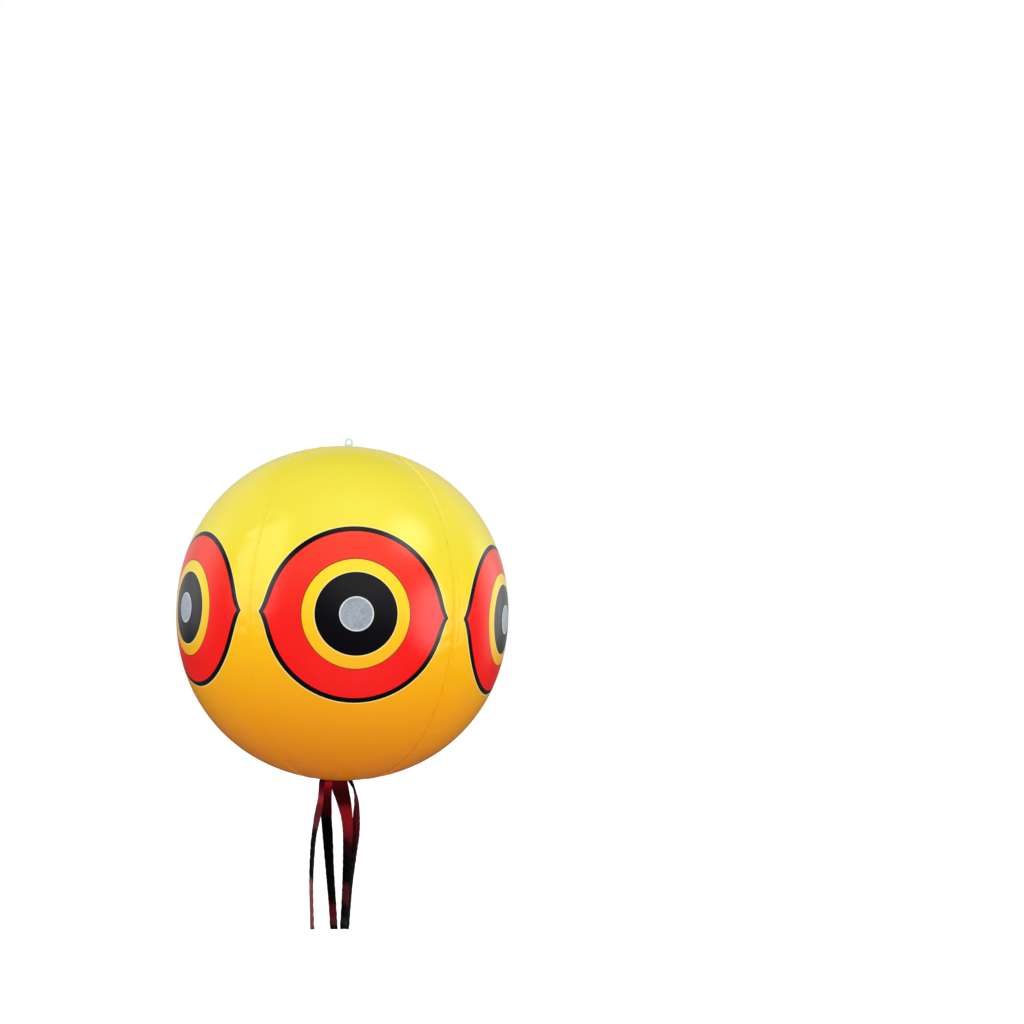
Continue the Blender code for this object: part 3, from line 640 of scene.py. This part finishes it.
def ribTree(meridian):
    # short ribs in rows down every seam, as the toothed jaw of the welder leaves them
    add, given, result = treeWith("seamWeldRibs", (
        "seams", "rows", "radius", "power", "lastLatitude", "halfAngle", "seamDip", "rib", "centre",
        "material"))
    grid, azimuth, latitude, shape, ring = gridForBall(add, given, meridian, 1, "seams")
    # the seams are even in number, so the two middle columns stand half a gore to each side of the front
    lastSeam = add("Math SUBTRACT", (given["seams"], 1))
    for factor in (lastSeam, 2, given["halfAngle"]):
        azimuth = add("Math MULTIPLY", (azimuth, factor))
    raised = add("Math DIVIDE", (ring, given["radius"]))
    for factor in (given["seamDip"], -1):
        raised = add("Math MULTIPLY", (raised, factor))
    points = laidOnBall(add, given, meridian, grid, shape, azimuth, raised)
    lean = add("Math SUBTRACT", (math.pi / 2, latitude))
    turn = add("CombineXYZ", (lean, 0, azimuth))
    rib = add("GeometryNodeMeshCube", {"Size": given["rib"]})
    ribs = add("GeometryNodeInstanceOnPoints", {"Points": points, "Instance": rib, "Rotation": turn})
    return finishTree(add, given, result, ribs)


def copiesTree():
    # copies of one piece around the ball's upright axis
    add, given, result = treeWith("copiesAroundBall", ("piece", "copies", "centre", "material"))
    points = add("GeometryNodeMeshLine", {"Count": given["copies"], "Offset": (0, 0, 0)})
    index = add("GeometryNodeInputIndex")
    step = add("Math DIVIDE", (2 * math.pi, given["copies"]))
    angle = add("Math MULTIPLY", (index, step))
    turn = add("CombineXYZ", (0, 0, angle))
    piece = add("GeometryNodeObjectInfo", {"Object": given["piece"]}, out="Geometry")
    copies = add("GeometryNodeInstanceOnPoints", {"Points": points, "Instance": piece, "Rotation": turn})
    placed = add("GeometryNodeTransform", {"Geometry": copies, "Translation": given["centre"]})
    return finishTree(add, given, result, placed)


def grownPiece(name, tree, values, *more):
    # a piece grown by a node tree, which takes its inputs out of the values by name, with any further
    # modifiers set by (type, settings)
    holder = newObject(name, bpy.data.meshes.new(name))
    nodes = holder.modifiers.new("Shape", "NODES")
    nodes.node_group = tree
    for item in tree.interface.items_tree:
        if item.in_out == "INPUT" and item.name in values:
            nodes[item.identifier] = values[item.name]
    for kind, settings in more:
        added = holder.modifiers.new(kind, kind)
        for key, value in settings.items():
            setattr(added, key, value)
    return plainMesh(holder, name)


# Inflation valve, measured from its hole with Z along its axis: turned soft PVC

valve = {
    "panel": 4,
    "latitude": math.radians(57),
    "sides": 64,
    "holeRadius": 7 * mm,
    "holeReach": 3 * mm,  # the hole's cutter, above and below the film
    "rimRadius": 8.2 * mm,
    "rimHeight": 1 * mm,
    "stemRadius": 5.5 * mm,
    "boreRadius": 3.9 * mm,
    "stemLength": 16 * mm,
    "beadRadius": 7 * mm,
    "beadHeight": 1.2 * mm,
    "headRadius": 8 * mm,
    "headHeight": 1.2 * mm,
    "headDome": 0.25 * mm,
    # a low ring on the head, as shares of its radius and its dome, from the rim inwards
    "headRingShares": ((0.8, 0.6), (0.77, 1.4), (0.72, 1.4), (0.69, 0.4)),
    "noseRadius": 3.5 * mm,
    "noseTaper": 1 * mm,
    "noseLength": 5 * mm,
    "hingeReach": 10.8 * mm,
    "strapWidth": 3.4 * mm,
    "strapHeight": 0.6 * mm,
    "strapEdge": 0.2 * mm,
    "root": 1.2 * mm,  # how far lug and strap reach into what they stand on
    "inside": 0.02 * mm,  # their faces lie this far inside the turned ones
    "gap": 0.3 * mm,
    "edge": 0.3 * mm,
}
reach = reachAt(valve["latitude"])
valveAway = reach * math.cos(valve["latitude"])
valveUp = reach * math.sin(valve["latitude"])
valveTilt = math.atan2(valveAway ** (ball["power"] - 1), valveUp ** (ball["power"] - 1))
valveFrame = (Matrix.Translation(ball["centre"] + Vector((0, valveAway, valveUp)))
              @ Matrix.Rotation(-valveTilt, 4, "X"))

print("gores")
printed = filmMaterial("screenPrintedPvcFilm", eyePrint)
plain = filmMaterial("plainPvcFilm", plainYellow)
meridian = meridianTree()
goreShape = goreTree(meridian)
lastLatitude = math.atan2(heightAt(ball["endRadius"]), ball["endRadius"])
onBall = {**ball, "lastLatitude": lastLatitude, "halfAngle": halfGore, "material": printed,
          "lapInset": ball["film"] + ball["lapGap"]}
for number in range(1, ball["gores"] + 1):
    name = f"gore_film_{number}"
    gore = grownPiece(name, goreShape, {**onBall, "seed": float(number), "turn": 2 * halfGore * (number - 1)},
                      ("SOLIDIFY", {"thickness": ball["film"], "offset": -1}))
    if number == valve["panel"]:
        radius, deep = valve["holeRadius"], valve["holeReach"]
        hole = turnedMesh("valveHole", [(0, -deep), (radius, -deep), (radius, deep), (0, deep)],
                          valve["sides"], valveFrame)
        uncut = gore.data
        bpy.data.objects.remove(gore)
        gore = combined(name, uncut, [("DIFFERENCE", hole)])
    smoothed(gore, printed, "printed_film", "ball", f"gore_panel_{number}", angle=50)

print("weld ribs")
seamLength = 2 * lastLatitude * ball["radius"]
ribs = grownPiece("seam_weld_ribs", ribTree(meridian), {
    **onBall, "seams": ball["gores"], "rows": round(seamLength / ball["weldPitch"]),
    "rib": Vector(ball["weldRib"]),
}, ("BEVEL", {"width": ball["ribEdge"], "segments": 1}))
smoothed(ribs, printed, "printed_film", "ball")

# Cap discs over the poles: the same film, unprinted, welded on by a ring of fine grooves

cap = {
    "radius": 38 * mm,
    "rings": 160,
    "sides": 128,
    "weldInner": 29.5 * mm,
    "weldOuter": 36.5 * mm,
    "groovePitch": 1.75 * mm,
    "grooveDepth": 0.09 * mm,
    "sheet": ball["film"],
    "edge": 0.05 * mm,
    "press": 2.5 * mm,  # the outermost strip, which the weld presses down on the gores
}
print("cap discs")


def discMesh(name, disc, under, matrix):
    # a disc laid over a pole at a height above the gores, with the grooves of its weld in its upper face
    rim = disc["radius"]
    radii = [(rim - disc["edge"]) * step / disc["rings"] for step in range(disc["rings"] + 1)]

    def underAt(r):
        pressed = max(r - rim + disc["press"], 0) / disc["press"]
        return heightAt(r) + under - (ball["gap"] - ball["lapGap"]) * eased(pressed)

    profile = []
    for r in radii:
        depth = disc["grooveDepth"] * (disc["weldInner"] < r < disc["weldOuter"])
        level = underAt(r) + disc["sheet"] - depth * groove(r - disc["weldInner"], disc["groovePitch"])
        profile.append((r, level))
    profile += [(rim, underAt(rim) + disc["sheet"] - disc["edge"]), (rim, underAt(rim))]
    profile += [(r, underAt(r)) for r in reversed(radii)]
    return turnedMesh(name, profile, disc["sides"], matrix)


for way, turn in (("top", 0), ("bottom", math.pi)):
    mesh = discMesh(f"{way}_cap_film", cap, ball["gap"], atCentre @ Matrix.Rotation(turn, 4, "X"))
    smoothed(newObject(f"{way}_cap_film", mesh), plain, "cap_film", "ball", f"{way}_cap_disc")

# Pupils: die-cut reflective foil with a fine grain, one on each eye

pupil = {
    "radius": 16 * mm,
    "film": 0.15 * mm,
    "edge": 0.05 * mm,
    "rings": 24,
    "sides": 96,
    "rim": 1.1 * mm,
    "grain": 1.4 * mm,  # the real grain is about 0.3 mm, drawn coarser so that it shows
    "grainShare": 0.35,  # of the tone, beside the clouds
    "cloud": 7 * mm,
    "darkest": 0.35,  # tone that shows as the darker colour
}
print("pupils")


def reflectiveFoil():
    # embossed reflective foil: grey, half metal, its grain breaks the reflection into fine points
    made, add, shader = surfaceMaterial("embossedReflectiveFoil")
    place = add("TexCoord", out="Object")
    grain = add("TexVoronoi", {"Vector": place, "Scale": 1 / pupil["grain"]}, out="Color")
    cloud = add("TexNoise", {"Vector": place, "Scale": 1 / pupil["cloud"], "Detail": 3})
    fine = add("SeparateXYZ", (grain,), out="X")
    tone = add("Math MULTIPLY_ADD", (fine, pupil["grainShare"], cloud))
    shade = add("MapRange", {"Value": tone, "From Min": pupil["darkest"], "From Max": 1})
    colour = add("Mix", {0: shade, 6: hexColour("#9CA7B4"), 7: hexColour("#C2CCD6")}, out=2, data_type="RGBA")
    bump = add("Bump", {"Strength": 0.2, "Distance": 0.1 * mm, "Height": fine})
    plug(shader, {"Base Color": colour, "Metallic": 0.35, "Roughness": 0.38, "Normal": bump})
    return made


def foilMesh(name):
    # a thin disc laid on the front eye: across and up become turns round the ball
    top = ball["gap"] + pupil["film"]
    steps = [pupil["radius"] * step / pupil["rings"] for step in range(pupil["rings"] + 1)]
    profile = [(r, top) for r in steps] + [(r, ball["gap"]) for r in reversed(steps)]
    mesh = turnedMesh(name, softened(profile, pupil["edge"], steps=2), pupil["sides"])
    for corner in mesh.vertices:
        across, up = corner.co.x / ball["radius"], corner.co.y / ball["radius"]
        away = Vector((math.sin(across) * math.cos(up), -math.cos(across) * math.cos(up), math.sin(up)))
        corner.co = away * (reachAt(up) + corner.co.z)
    return mesh


foil = reflectiveFoil()
# the pale carrier film, which the foil's cut edge shows
carrier = cloudedPlastic("paleFoilCarrier", 5 * mm, ("#C9D3D6", "#E2E8E6"), (0.4, 0.4), {}, Detail=2)
pattern = newObject("foilPattern", foilMesh("foilPattern"))
pupils = grownPiece("pupil_foils", copiesTree(), {
    "piece": pattern, "copies": ball["gores"], "centre": ball["centre"], "material": foil,
})
bpy.data.objects.remove(pattern)
smoothed(pupils, foil, "pupil_foil", "ball", *[f"pupil_sticker_{n}" for n in range(1, ball["gores"] + 1)])
pupils.data.materials.append(carrier)
for face in pupils.data.polygons:
    middle = face.center - ball["centre"]
    turns = round(math.atan2(middle.x, -middle.y) / (2 * halfGore))
    level = Matrix.Rotation(-2 * halfGore * turns, 3, "Z") @ middle
    spread = math.hypot(math.atan2(level.x, -level.y), math.atan2(level.z, math.hypot(level.x, level.y)))
    if spread * ball["radius"] > pupil["radius"] - pupil["rim"]:
        face.material_index = 1

# Strap under the ball: clear PVC, welded to the bottom cap at both ends

strap = {
    "width": 5 * mm,
    "sheet": 0.5 * mm,
    "edge": 0.2 * mm,
    "drop": 4 * mm,  # underside of the ball to the strap's upper face
    "flatHalf": 23.06 * mm,
    "ramp": 6.5 * mm,
    "pad": 6.5 * mm,
    "rows": 72,
    "columns": 6,
    "weldPitch": 1.3 * mm,
    "weldDepth": 0.09 * mm,
}
strapTop = ball["centre"].z - ball["radius"] - strap["drop"]
print("strap")


def strapMesh(name):
    # one closed strip: its upper face from left to right, its lower face back again
    build = bmesh.new()
    rampEnd = strap["flatHalf"] + strap["ramp"]
    reach = rampEnd + strap["pad"]
    rings = []
    for row in range(strap["rows"] + 1):
        x = reach * (2 * row / strap["rows"] - 1)
        rise = min(max((abs(x) - strap["flatHalf"]) / strap["ramp"], 0), 1)
        cut = strap["weldDepth"] * (abs(x) > rampEnd) * groove(x, strap["weldPitch"])
        ring = []
        for side in (1, -1):
            for column in range(strap["columns"] + 1):
                y = side * strap["width"] * (column / strap["columns"] - 0.5)
                welded = ball["centre"].z - heightAt(math.hypot(x, y)) - 2 * ball["gap"] - ball["film"]
                upper = strapTop + (welded - strapTop) * eased(rise)
                edge = strap["edge"] if column in (0, strap["columns"]) else 0
                level = upper - edge if side > 0 else upper - strap["sheet"] + edge + cut
                ring.append(build.verts.new((x, y, level)))
        rings.append(ring)
    list(joinRings(build, rings))
    build.faces.new(rings[0])
    build.faces.new(rings[-1])
    return cleaned(build, name)


# Clear soft PVC sheet, polished by its rollers: faint green-blue, seen best at its cut edges. It lets the
# light through to what lies under it.
clear = cloudedPlastic("clearSoftPvc", 4 * mm, ("#B8DCD0", "#DAEFE8"), (0.08, 0.2), {
    "Transmission Weight": 0.6, "IOR": 1.53, "Alpha": 0.65}, Detail=2)
smoothed(newObject("streamer_strap_clear", strapMesh("streamer_strap_clear")), clear, "clear_vinyl", "ball",
         "streamer_strap")

# Hanging tab: one moulding of clear soft PVC. Its blade has rows for a fold where it leaves the round foot on
# the top disc.

tab = {
    "half": 5 * mm,  # half its width, and the radius of its round top
    "sheet": 0.5 * mm,
    "edge": 0.12 * mm,
    "hole": 3 * mm,
    "holeFlare": 0.3 * mm,
    "beadRise": 0.35 * mm,
    "beadCrest": 3.7 * mm,
    "beadFoot": 4.9 * mm,
    "beadEdge": 0.3 * mm,
    "sides": 96,
    "foldTop": -11.2 * mm,
    "foldEnd": -12 * mm,
    "foldRows": 8,
    "rootHalf": 0.6 * mm,  # the blade's thickened root on the foot
    "rootHeight": 0.25 * mm,
    "rootEdge": 0.2 * mm,
}
foot = {
    "radius": 13 * mm,
    "rings": 80,
    "sides": 96,
    "weldInner": 7.6 * mm,
    "weldOuter": 12.4 * mm,
    "groovePitch": 1.2 * mm,
    "grooveDepth": 0.08 * mm,
    "sheet": 0.6 * mm,
    "edge": 0.15 * mm,
    "press": 1.5 * mm,
}
footUnder = 2 * ball["gap"] + ball["film"]
footTop = ball["centre"].z + ball["radius"] + footUnder + foot["sheet"]
print("hanging tab")


def bladeMesh(name, bottom):
    # a flat sheet with a round top and soft edges, in rows where it would fold
    build = bmesh.new()
    steps = tab["sides"] // 2
    turns = [math.pi * step / steps for step in range(steps + 1)]
    outline = [(tab["half"] * math.cos(turn), tab["half"] * math.sin(turn)) for turn in turns]
    outline += [(-tab["half"], bottom), (tab["half"], bottom)]
    front, back = [[build.verts.new((x, side * tab["sheet"] / 2, z)) for x, z in outline] for side in (-1, 1)]
    faces = [build.faces.new(front), build.faces.new(back)]
    list(joinRings(build, [front, back]))
    rims = [edge for face in faces for edge in face.edges]
    bmesh.ops.bevel(build, geom=rims, offset=tab["edge"], segments=3, affect="EDGES", profile=0.5)
    for row in range(tab["foldRows"] + 1):
        level = tab["foldTop"] + (tab["foldEnd"] - tab["foldTop"]) * row / tab["foldRows"]
        bmesh.ops.bisect_plane(build, geom=build.verts[:] + build.edges[:] + build.faces[:],
                               plane_co=(0, 0, level), plane_no=(0, 0, 1))
    return cleaned(build, name)


upright = Matrix.Rotation(math.pi / 2, 4, "X")
crest = tab["sheet"] / 2 + tab["beadRise"]
flare = tab["hole"] + tab["holeFlare"]
beadHalf = [(0, crest), (tab["beadCrest"], crest)]
eyeletHalf = [(0, 2 * crest), (flare + crest, 2 * crest), (flare, crest),
              (tab["hole"], crest - tab["holeFlare"])]
beadLower, eyeletLower = [[(r, -level) for r, level in reversed(upper)] for upper in (beadHalf, eyeletHalf)]
bead = turnedMesh("eyeletBead", softened(beadHalf + [(tab["beadFoot"], 0)] + beadLower, tab["beadEdge"]),
                  tab["sides"], upright)
eyelet = turnedMesh("eyeletHole", eyeletHalf + eyeletLower, tab["sides"], upright)
inFoot = footTop - foot["sheet"] / 2  # where the blade and its root end
rootLow = (-tab["half"] - tab["rootHeight"], -tab["rootHalf"], inFoot)
rootHigh = (tab["half"] + tab["rootHeight"], tab["rootHalf"], footTop + tab["rootHeight"])
root = barMesh("tabRoot", rootLow, rootHigh, tab["rootEdge"])
tabPiece = combined("hanging_tab_clear", bladeMesh("hanging_tab_clear", inFoot), [
    ("UNION", bead), ("DIFFERENCE", eyelet), ("UNION", root),
    ("UNION", discMesh("tabFoot", foot, footUnder, atCentre)),
])
smoothed(tabPiece, clear, "clear_vinyl", None, "hanging_tab", "tab_foot")
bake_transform(tabPiece)

# Valve pieces: moulded soft PVC, satin from its steel mould, milky, a little light passes

print("valve")
vinyl = cloudedPlastic("milkyMouldedPvc", 5 * mm, ("#DDE1DA", "#F1F2EC"), (0.28, 0.42), {
    "Transmission Weight": 0.25, "IOR": 1.53}, grain=(0.8 * mm, 0.15, 0.05 * mm), Detail=3, Distortion=1)


def mouldedPiece(name, section, root, under, top, edge, body):
    # a turned moulding with a flat bar to the plug's hinge
    low = (root - valve["root"], -valve["strapWidth"] / 2, under + valve["inside"])
    high = (valve["hingeReach"], valve["strapWidth"] / 2, top)
    turned = turnedMesh(name, softened(section, valve["edge"]), valve["sides"], valveFrame)
    piece = combined(name, turned, [("UNION", barMesh(name + "Bar", low, high, edge, valveFrame))])
    smoothed(piece, vinyl, "valve_vinyl", body, body)


rimTop = valve["gap"] + valve["rimHeight"]
stemEnd = valve["gap"] - valve["stemLength"]
beadTop = stemEnd + valve["beadHeight"]
middle = (valve["boreRadius"], stemEnd / 2)
stemSection = [middle, (valve["boreRadius"], rimTop), (valve["rimRadius"], rimTop),
               (valve["rimRadius"], valve["gap"]), (valve["stemRadius"], valve["gap"]),
               (valve["stemRadius"], beadTop), (valve["beadRadius"], beadTop), (valve["beadRadius"], stemEnd),
               (valve["boreRadius"], stemEnd), middle]
mouldedPiece("valve_stem_moulded", stemSection, valve["rimRadius"], valve["gap"], rimTop - valve["inside"],
             valve["edge"], "valve_stem")

headUnder = rimTop + valve["gap"]
headTop = headUnder + valve["headHeight"]
noseEnd = headUnder - valve["noseLength"]
plugSection = [(0, noseEnd), (valve["noseRadius"] - valve["noseTaper"], noseEnd),
               (valve["noseRadius"], headUnder), (valve["headRadius"], headUnder),
               (valve["headRadius"], headTop - valve["headDome"])]
plugSection += [(valve["headRadius"] * out, headTop - valve["headDome"] * down)
                for out, down in valve["headRingShares"]]
mouldedPiece("valve_plug_moulded", plugSection + [(0, headTop)], valve["headRadius"], headUnder,
             headUnder + valve["strapHeight"], valve["strapEdge"], "valve_plug")
for name in ("valve_flange", "valve_flap"):
    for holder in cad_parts[name].material_slots:
        holder.material = vinyl

# Streamers: two ribbons of metallised film folded over the strap. Each half is one piece, from the middle of
# the fold to the end of its tail.

ribbon = {
    "film": 0.12 * mm,
    "width": 18 * mm,
    "depth": 2.95 * mm,  # middle of the film, before and behind the strap
    "dome": 1.35 * mm,
    "leg": 5.4 * mm,
    "hingeUp": 0.2 * mm,  # the hinge lies this far above the leg's end
    "rows": 170,
    "columns": 10,
    "rowCrowding": 0.25,  # how much closer together the rows lie at the fold
    "bow": 0.9 * mm,
    "looseAfter": 26 * mm,  # the film hangs loose from here on
    "crinkle": 0.22 * mm,
    "crinklePitch": 9 * mm,
    "crinkleWaves": 6,
    "pitchShares": (0.7, 1.8),  # a wave's pitch lies between these
    "waveSlant": 1.2,  # most that a wave leans across the film
    "waveShare": 1 / 3,  # height of one wave
    "foldShare": 0.25,  # share of the crinkle that is left at the fold
    "bendAbove": 2 * mm,
    "bendBelow": 14 * mm,
    "slantFrom": 150 * mm,  # from here down the rows lean towards the slanted cut of the end
    "slant": 0.53,  # the cut rises by this share of the way from the edge at the back to the one in front
    "texture": 200 * mm,  # length of film that the UV map's height stands for
    "crest": 3.5 * mm,  # film from the crest to the leg, as the colours count it
    "colourSwing": 4 * mm,  # the colours' ends wander by this
    "swingWidth": 12 * mm,
    "swingNoise": (0.3, 0.7),  # noise at the two ends of that
    "creaseWidth": 5 * mm,
}
# for each half: body, side, nodes, how far it lies behind its side's depth, length of its tail, crest (aside,
# width), then stations down the tail in mm and degrees: (down, aside, width, turn), and the film's colour by
# the length down the tail, crimson with painted highlights and black painted reflections of the dark
halves = {
    "streamer_front_left": {
        "body": "streamer_1", "side": -1, "nodes": ["streamer_tail_1", "streamer_fold_left"],
        "behind": 0, "tail": 184.8 * mm, "crest": (-13.2, 8.3),
        "stations": [(0, -17.5, 7, 0), (13, -17.9, 8.1, -35), (26, -18.8, 10.8, -52), (46.4, -21.9, 18, -68),
                     (63.1, -24.3, 18, -73), (81.7, -25.8, 18, -73), (124.4, -26.1, 18, -74.5),
                     (185.6, -22.5, 18, -75.5)],
        "colours": [(0, "#2A0610"), (8, "#5A0E22"), (14, "#8C1830"), (24, "#D0323A"), (30, "#8A1C28"),
                    (40, "#7C2434"), (58, "#84343E"), (62, "#0C0607"), (122, "#0A0406"), (125, "#A8585E"),
                    (182, "#A0545A"), (184, "#100A0A")],
    },
    "streamer_back_left": {
        "body": "streamer_2", "side": 1, "nodes": ["streamer_tail_2"],
        "behind": 0, "tail": 187.8 * mm, "crest": (-13.2, 8.3),
        "stations": [(0, -8.95, 9.5, 0), (26, -9.5, 11.3, -20), (46.4, -10, 18, -43), (63.1, -8.2, 18, -43),
                     (105.8, -4, 18, -53), (159.6, 2.1, 18, -59), (185.6, 4.7, 18, -62)],
        "colours": [(0, "#6A0A14"), (5, "#D81C2A"), (12, "#8A0C18"), (20, "#4A0A12"), (34, "#540814"),
                    (43, "#46060E"), (46, "#080608"), (153, "#0A0408"), (160, "#6C0A22"), (172, "#700C26"),
                    (180, "#5C3034"), (184, "#0C0808")],
    },
    "streamer_back_right": {
        "body": "streamer_3", "side": 1, "nodes": ["streamer_tail_3"],
        "behind": 0.4 * mm, "tail": 187.8 * mm, "crest": (11.9, 12.3),
        "stations": [(0, 5, 19.5, 0), (13, 6.8, 21.5, -4), (26, 10.8, 19.4, -12), (46.4, 15.4, 18, -36),
                     (63.1, 17.4, 18, -48), (81.7, 17.8, 18, -55), (118.8, 18.2, 18, -60),
                     (159.6, 17.5, 18, -65), (185.6, 16.8, 18, -66)],
        "colours": [(0, "#5A0810"), (6, "#66060E"), (16, "#3E040C"), (30, "#4A060E"), (38, "#A81C22"),
                    (52, "#B21E24"), (70, "#8E1628"), (80, "#3A0C0C"), (90, "#2C0A08"), (98, "#080606"),
                    (128, "#080606"), (134, "#5E2024"), (152, "#6A282C"), (160, "#0E0808"), (172, "#0E0C0E"),
                    (180, "#343E42"), (184, "#0C0C0C")],
    },
    "streamer_front_right": {
        "body": "streamer_4", "side": -1, "nodes": ["streamer_tail_4", "streamer_fold_right"],
        "behind": 0, "tail": 184.4 * mm, "crest": (11.9, 12.3),
        "stations": [(0, 18.3, 5.9, 0), (11, 23.7, 4.9, -50), (26, 26.8, 13.5, -68), (46.4, 27.3, 18, -65),
                     (63.1, 27.5, 18, -67), (81.7, 26.4, 18, -72), (122.5, 24.1, 18, -84),
                     (159.6, 22.6, 18, -86), (185.6, 21.9, 18, -86)],
        "colours": [(0, "#16060A"), (10, "#1C060C"), (20, "#7C3440"), (32, "#5A1420"), (40, "#780C20"),
                    (70, "#5C0A18"), (84, "#380A10"), (110, "#1A0608"), (184, "#0C0808")],
    },
}
print("streamers")


def between(stations, down):
    # the values at a length down the tail, on one smooth curve through its stations
    place = max(k for k, station in enumerate(stations[:-1]) if station[0] <= down)
    around = [min(max(k, 0), len(stations) - 1) for k in range(place - 1, place + 3)]
    before, start, end, after = [stations[k] for k in around]
    span = end[0] - start[0]
    share = (down - start[0]) / span
    values = []
    for a, b, c, d in zip(before[1:], start[1:], end[1:], after[1:]):
        into = (c - a) / (end[0] - before[0]) * span
        out = (d - b) / (after[0] - start[0]) * span
        values.append(b + (c - b) * eased(share) + (share ** 3 - 2 * share ** 2 + share) * into
                      + (share ** 3 - share ** 2) * out)
    return values


def metallisedFilm(name, colours):
    # dyed metallised PET film, partly a mirror. Its crimson and black are painted light: painted highlights
    # where it would mirror light and painted dark reflections where it would mirror the dark, along the
    # film's length
    made, add, shader = surfaceMaterial(name)
    flat = add("UVMap", uv_map="OFBake")
    down = add("SeparateXYZ", (flat,), out="Y")
    slant = add("TexNoise", {
        "Vector": flat, "Scale": ribbon["texture"] / ribbon["swingWidth"], "Detail": 2})
    swing = ribbon["colourSwing"] / ribbon["texture"]
    low, high = ribbon["swingNoise"]
    swing = add("MapRange", {
        "Value": slant, "From Min": low, "From Max": high, "To Min": -swing, "To Max": swing})
    along = add("Math ADD", (down, swing))
    ramp = add("ValToRGB", (along,))
    above = ribbon["leg"] + ribbon["crest"]
    # the stops paint the highlights in crimson and the dark reflections in black along the film
    addStops(ramp, [((above + stop * mm) / ribbon["texture"], colour) for stop, colour in colours])
    creases = add("TexNoise", {
        "Vector": flat, "Scale": ribbon["texture"] / ribbon["creaseWidth"], "Detail": 3, "Distortion": 1.5})
    bump = add("Bump", {"Strength": 0.35, "Distance": 0.3 * mm, "Height": creases})
    plug(shader, {"Base Color": ramp, "Metallic": 0.35, "Roughness": 0.3, "Specular IOR Level": 0.12,
                  "Normal": bump})
    return made


def ribbonMesh(name, half, seed):
    side, stations = half["side"], half["stations"]
    across = ribbon["depth"] + half["behind"]
    bend = math.pi / 2 * (across + ribbon["dome"]) / 2  # length of film over the strap's edge
    total = bend + ribbon["leg"] + half["tail"]
    rng = np.random.default_rng(seed)
    waves = ribbon["crinkleWaves"]
    phases = rng.uniform(0, 2 * math.pi, waves)
    pitches = rng.uniform(*ribbon["pitchShares"], waves) * ribbon["crinklePitch"]
    slants = rng.uniform(-ribbon["waveSlant"], ribbon["waveSlant"], waves)
    build = bmesh.new()
    uvLayer = build.loops.layers.uv.new("OFBake")
    rings, lengths = [], []
    for row in range(ribbon["rows"] + 1):
        share = row / ribbon["rows"]
        length = total * (share * (1 - ribbon["rowCrowding"]) + share * share * ribbon["rowCrowding"])
        down = length - bend - ribbon["leg"]
        turn = 0
        if down >= 0:
            aside, width, turn = between(stations, down / mm)
        else:
            fromCrest = length / (bend + ribbon["leg"])
            aside, width = [crest + (top - crest) * fromCrest
                            for crest, top in zip(half["crest"], stations[0][1:])]
        angle = math.pi / 2 * min(length / bend, 1)
        depth = side * across * math.sin(angle)
        level = strapTop + ribbon["dome"] * math.cos(angle) - max(length - bend, 0)
        slope = Matrix.Rotation(math.radians(turn), 3, "Z")
        normal = slope @ Vector((0, side * math.sin(angle), math.cos(angle)))
        loose = min(max(down / ribbon["looseAfter"], 0), 1)
        crinkled = ribbon["foldShare"] + (1 - ribbon["foldShare"]) * loose
        lean = max(down - ribbon["slantFrom"], 0) / (half["tail"] - ribbon["slantFrom"])
        front = []
        for column in range(ribbon["columns"] + 1):
            place = column / ribbon["columns"] * 2 - 1
            offset = place * width * mm / 2
            wave = ribbon["waveShare"] * sum(math.sin(2 * math.pi * (length + slant * offset) / pitch + phase)
                                             for pitch, slant, phase in zip(pitches, slants, phases))
            point = Vector((aside * mm, depth, level))
            point += slope @ Vector((offset, ribbon["bow"] * (1 - place * place) * loose, 0))
            point += normal * ribbon["crinkle"] * wave * crinkled
            point.z -= offset * math.sin(math.radians(turn)) * ribbon["slant"] * lean ** 2
            front.append(point)
        away = normal * ribbon["film"] / 2
        rings.append([build.verts.new(p + away) for p in front]
                     + [build.verts.new(p - away) for p in reversed(front)])
        lengths.append(length / ribbon["texture"])
    size = len(rings[0])
    for row, place, face in joinRings(build, rings):
        flats = [(place, row), (place + 1, row), (place + 1, row + 1), (place, row + 1)]
        for loop, (column, line) in zip(face.loops, flats):
            loop[uvLayer].uv = (column / size, lengths[line])
    for ring, length in ((rings[0], lengths[0]), (rings[-1], lengths[-1])):
        for place in range(ribbon["columns"]):
            corners = [ring[place], ring[place + 1], ring[size - 2 - place], ring[size - 1 - place]]
            for loop in build.faces.new(corners).loops:
                loop[uvLayer].uv = (place / size, length)
    bmesh.ops.recalc_face_normals(build, faces=build.faces)
    return finishedMesh(build, name), total


for seed, (name, half) in enumerate(halves.items()):
    mesh, total = ribbonMesh(name, half, seed)
    piece = newObject(name, mesh)
    finish = metallisedFilm(f"metallisedPetFilm{seed + 1}", half["colours"])
    smoothed(piece, finish, "streamer_film", None, *half["nodes"])
    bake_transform(piece)
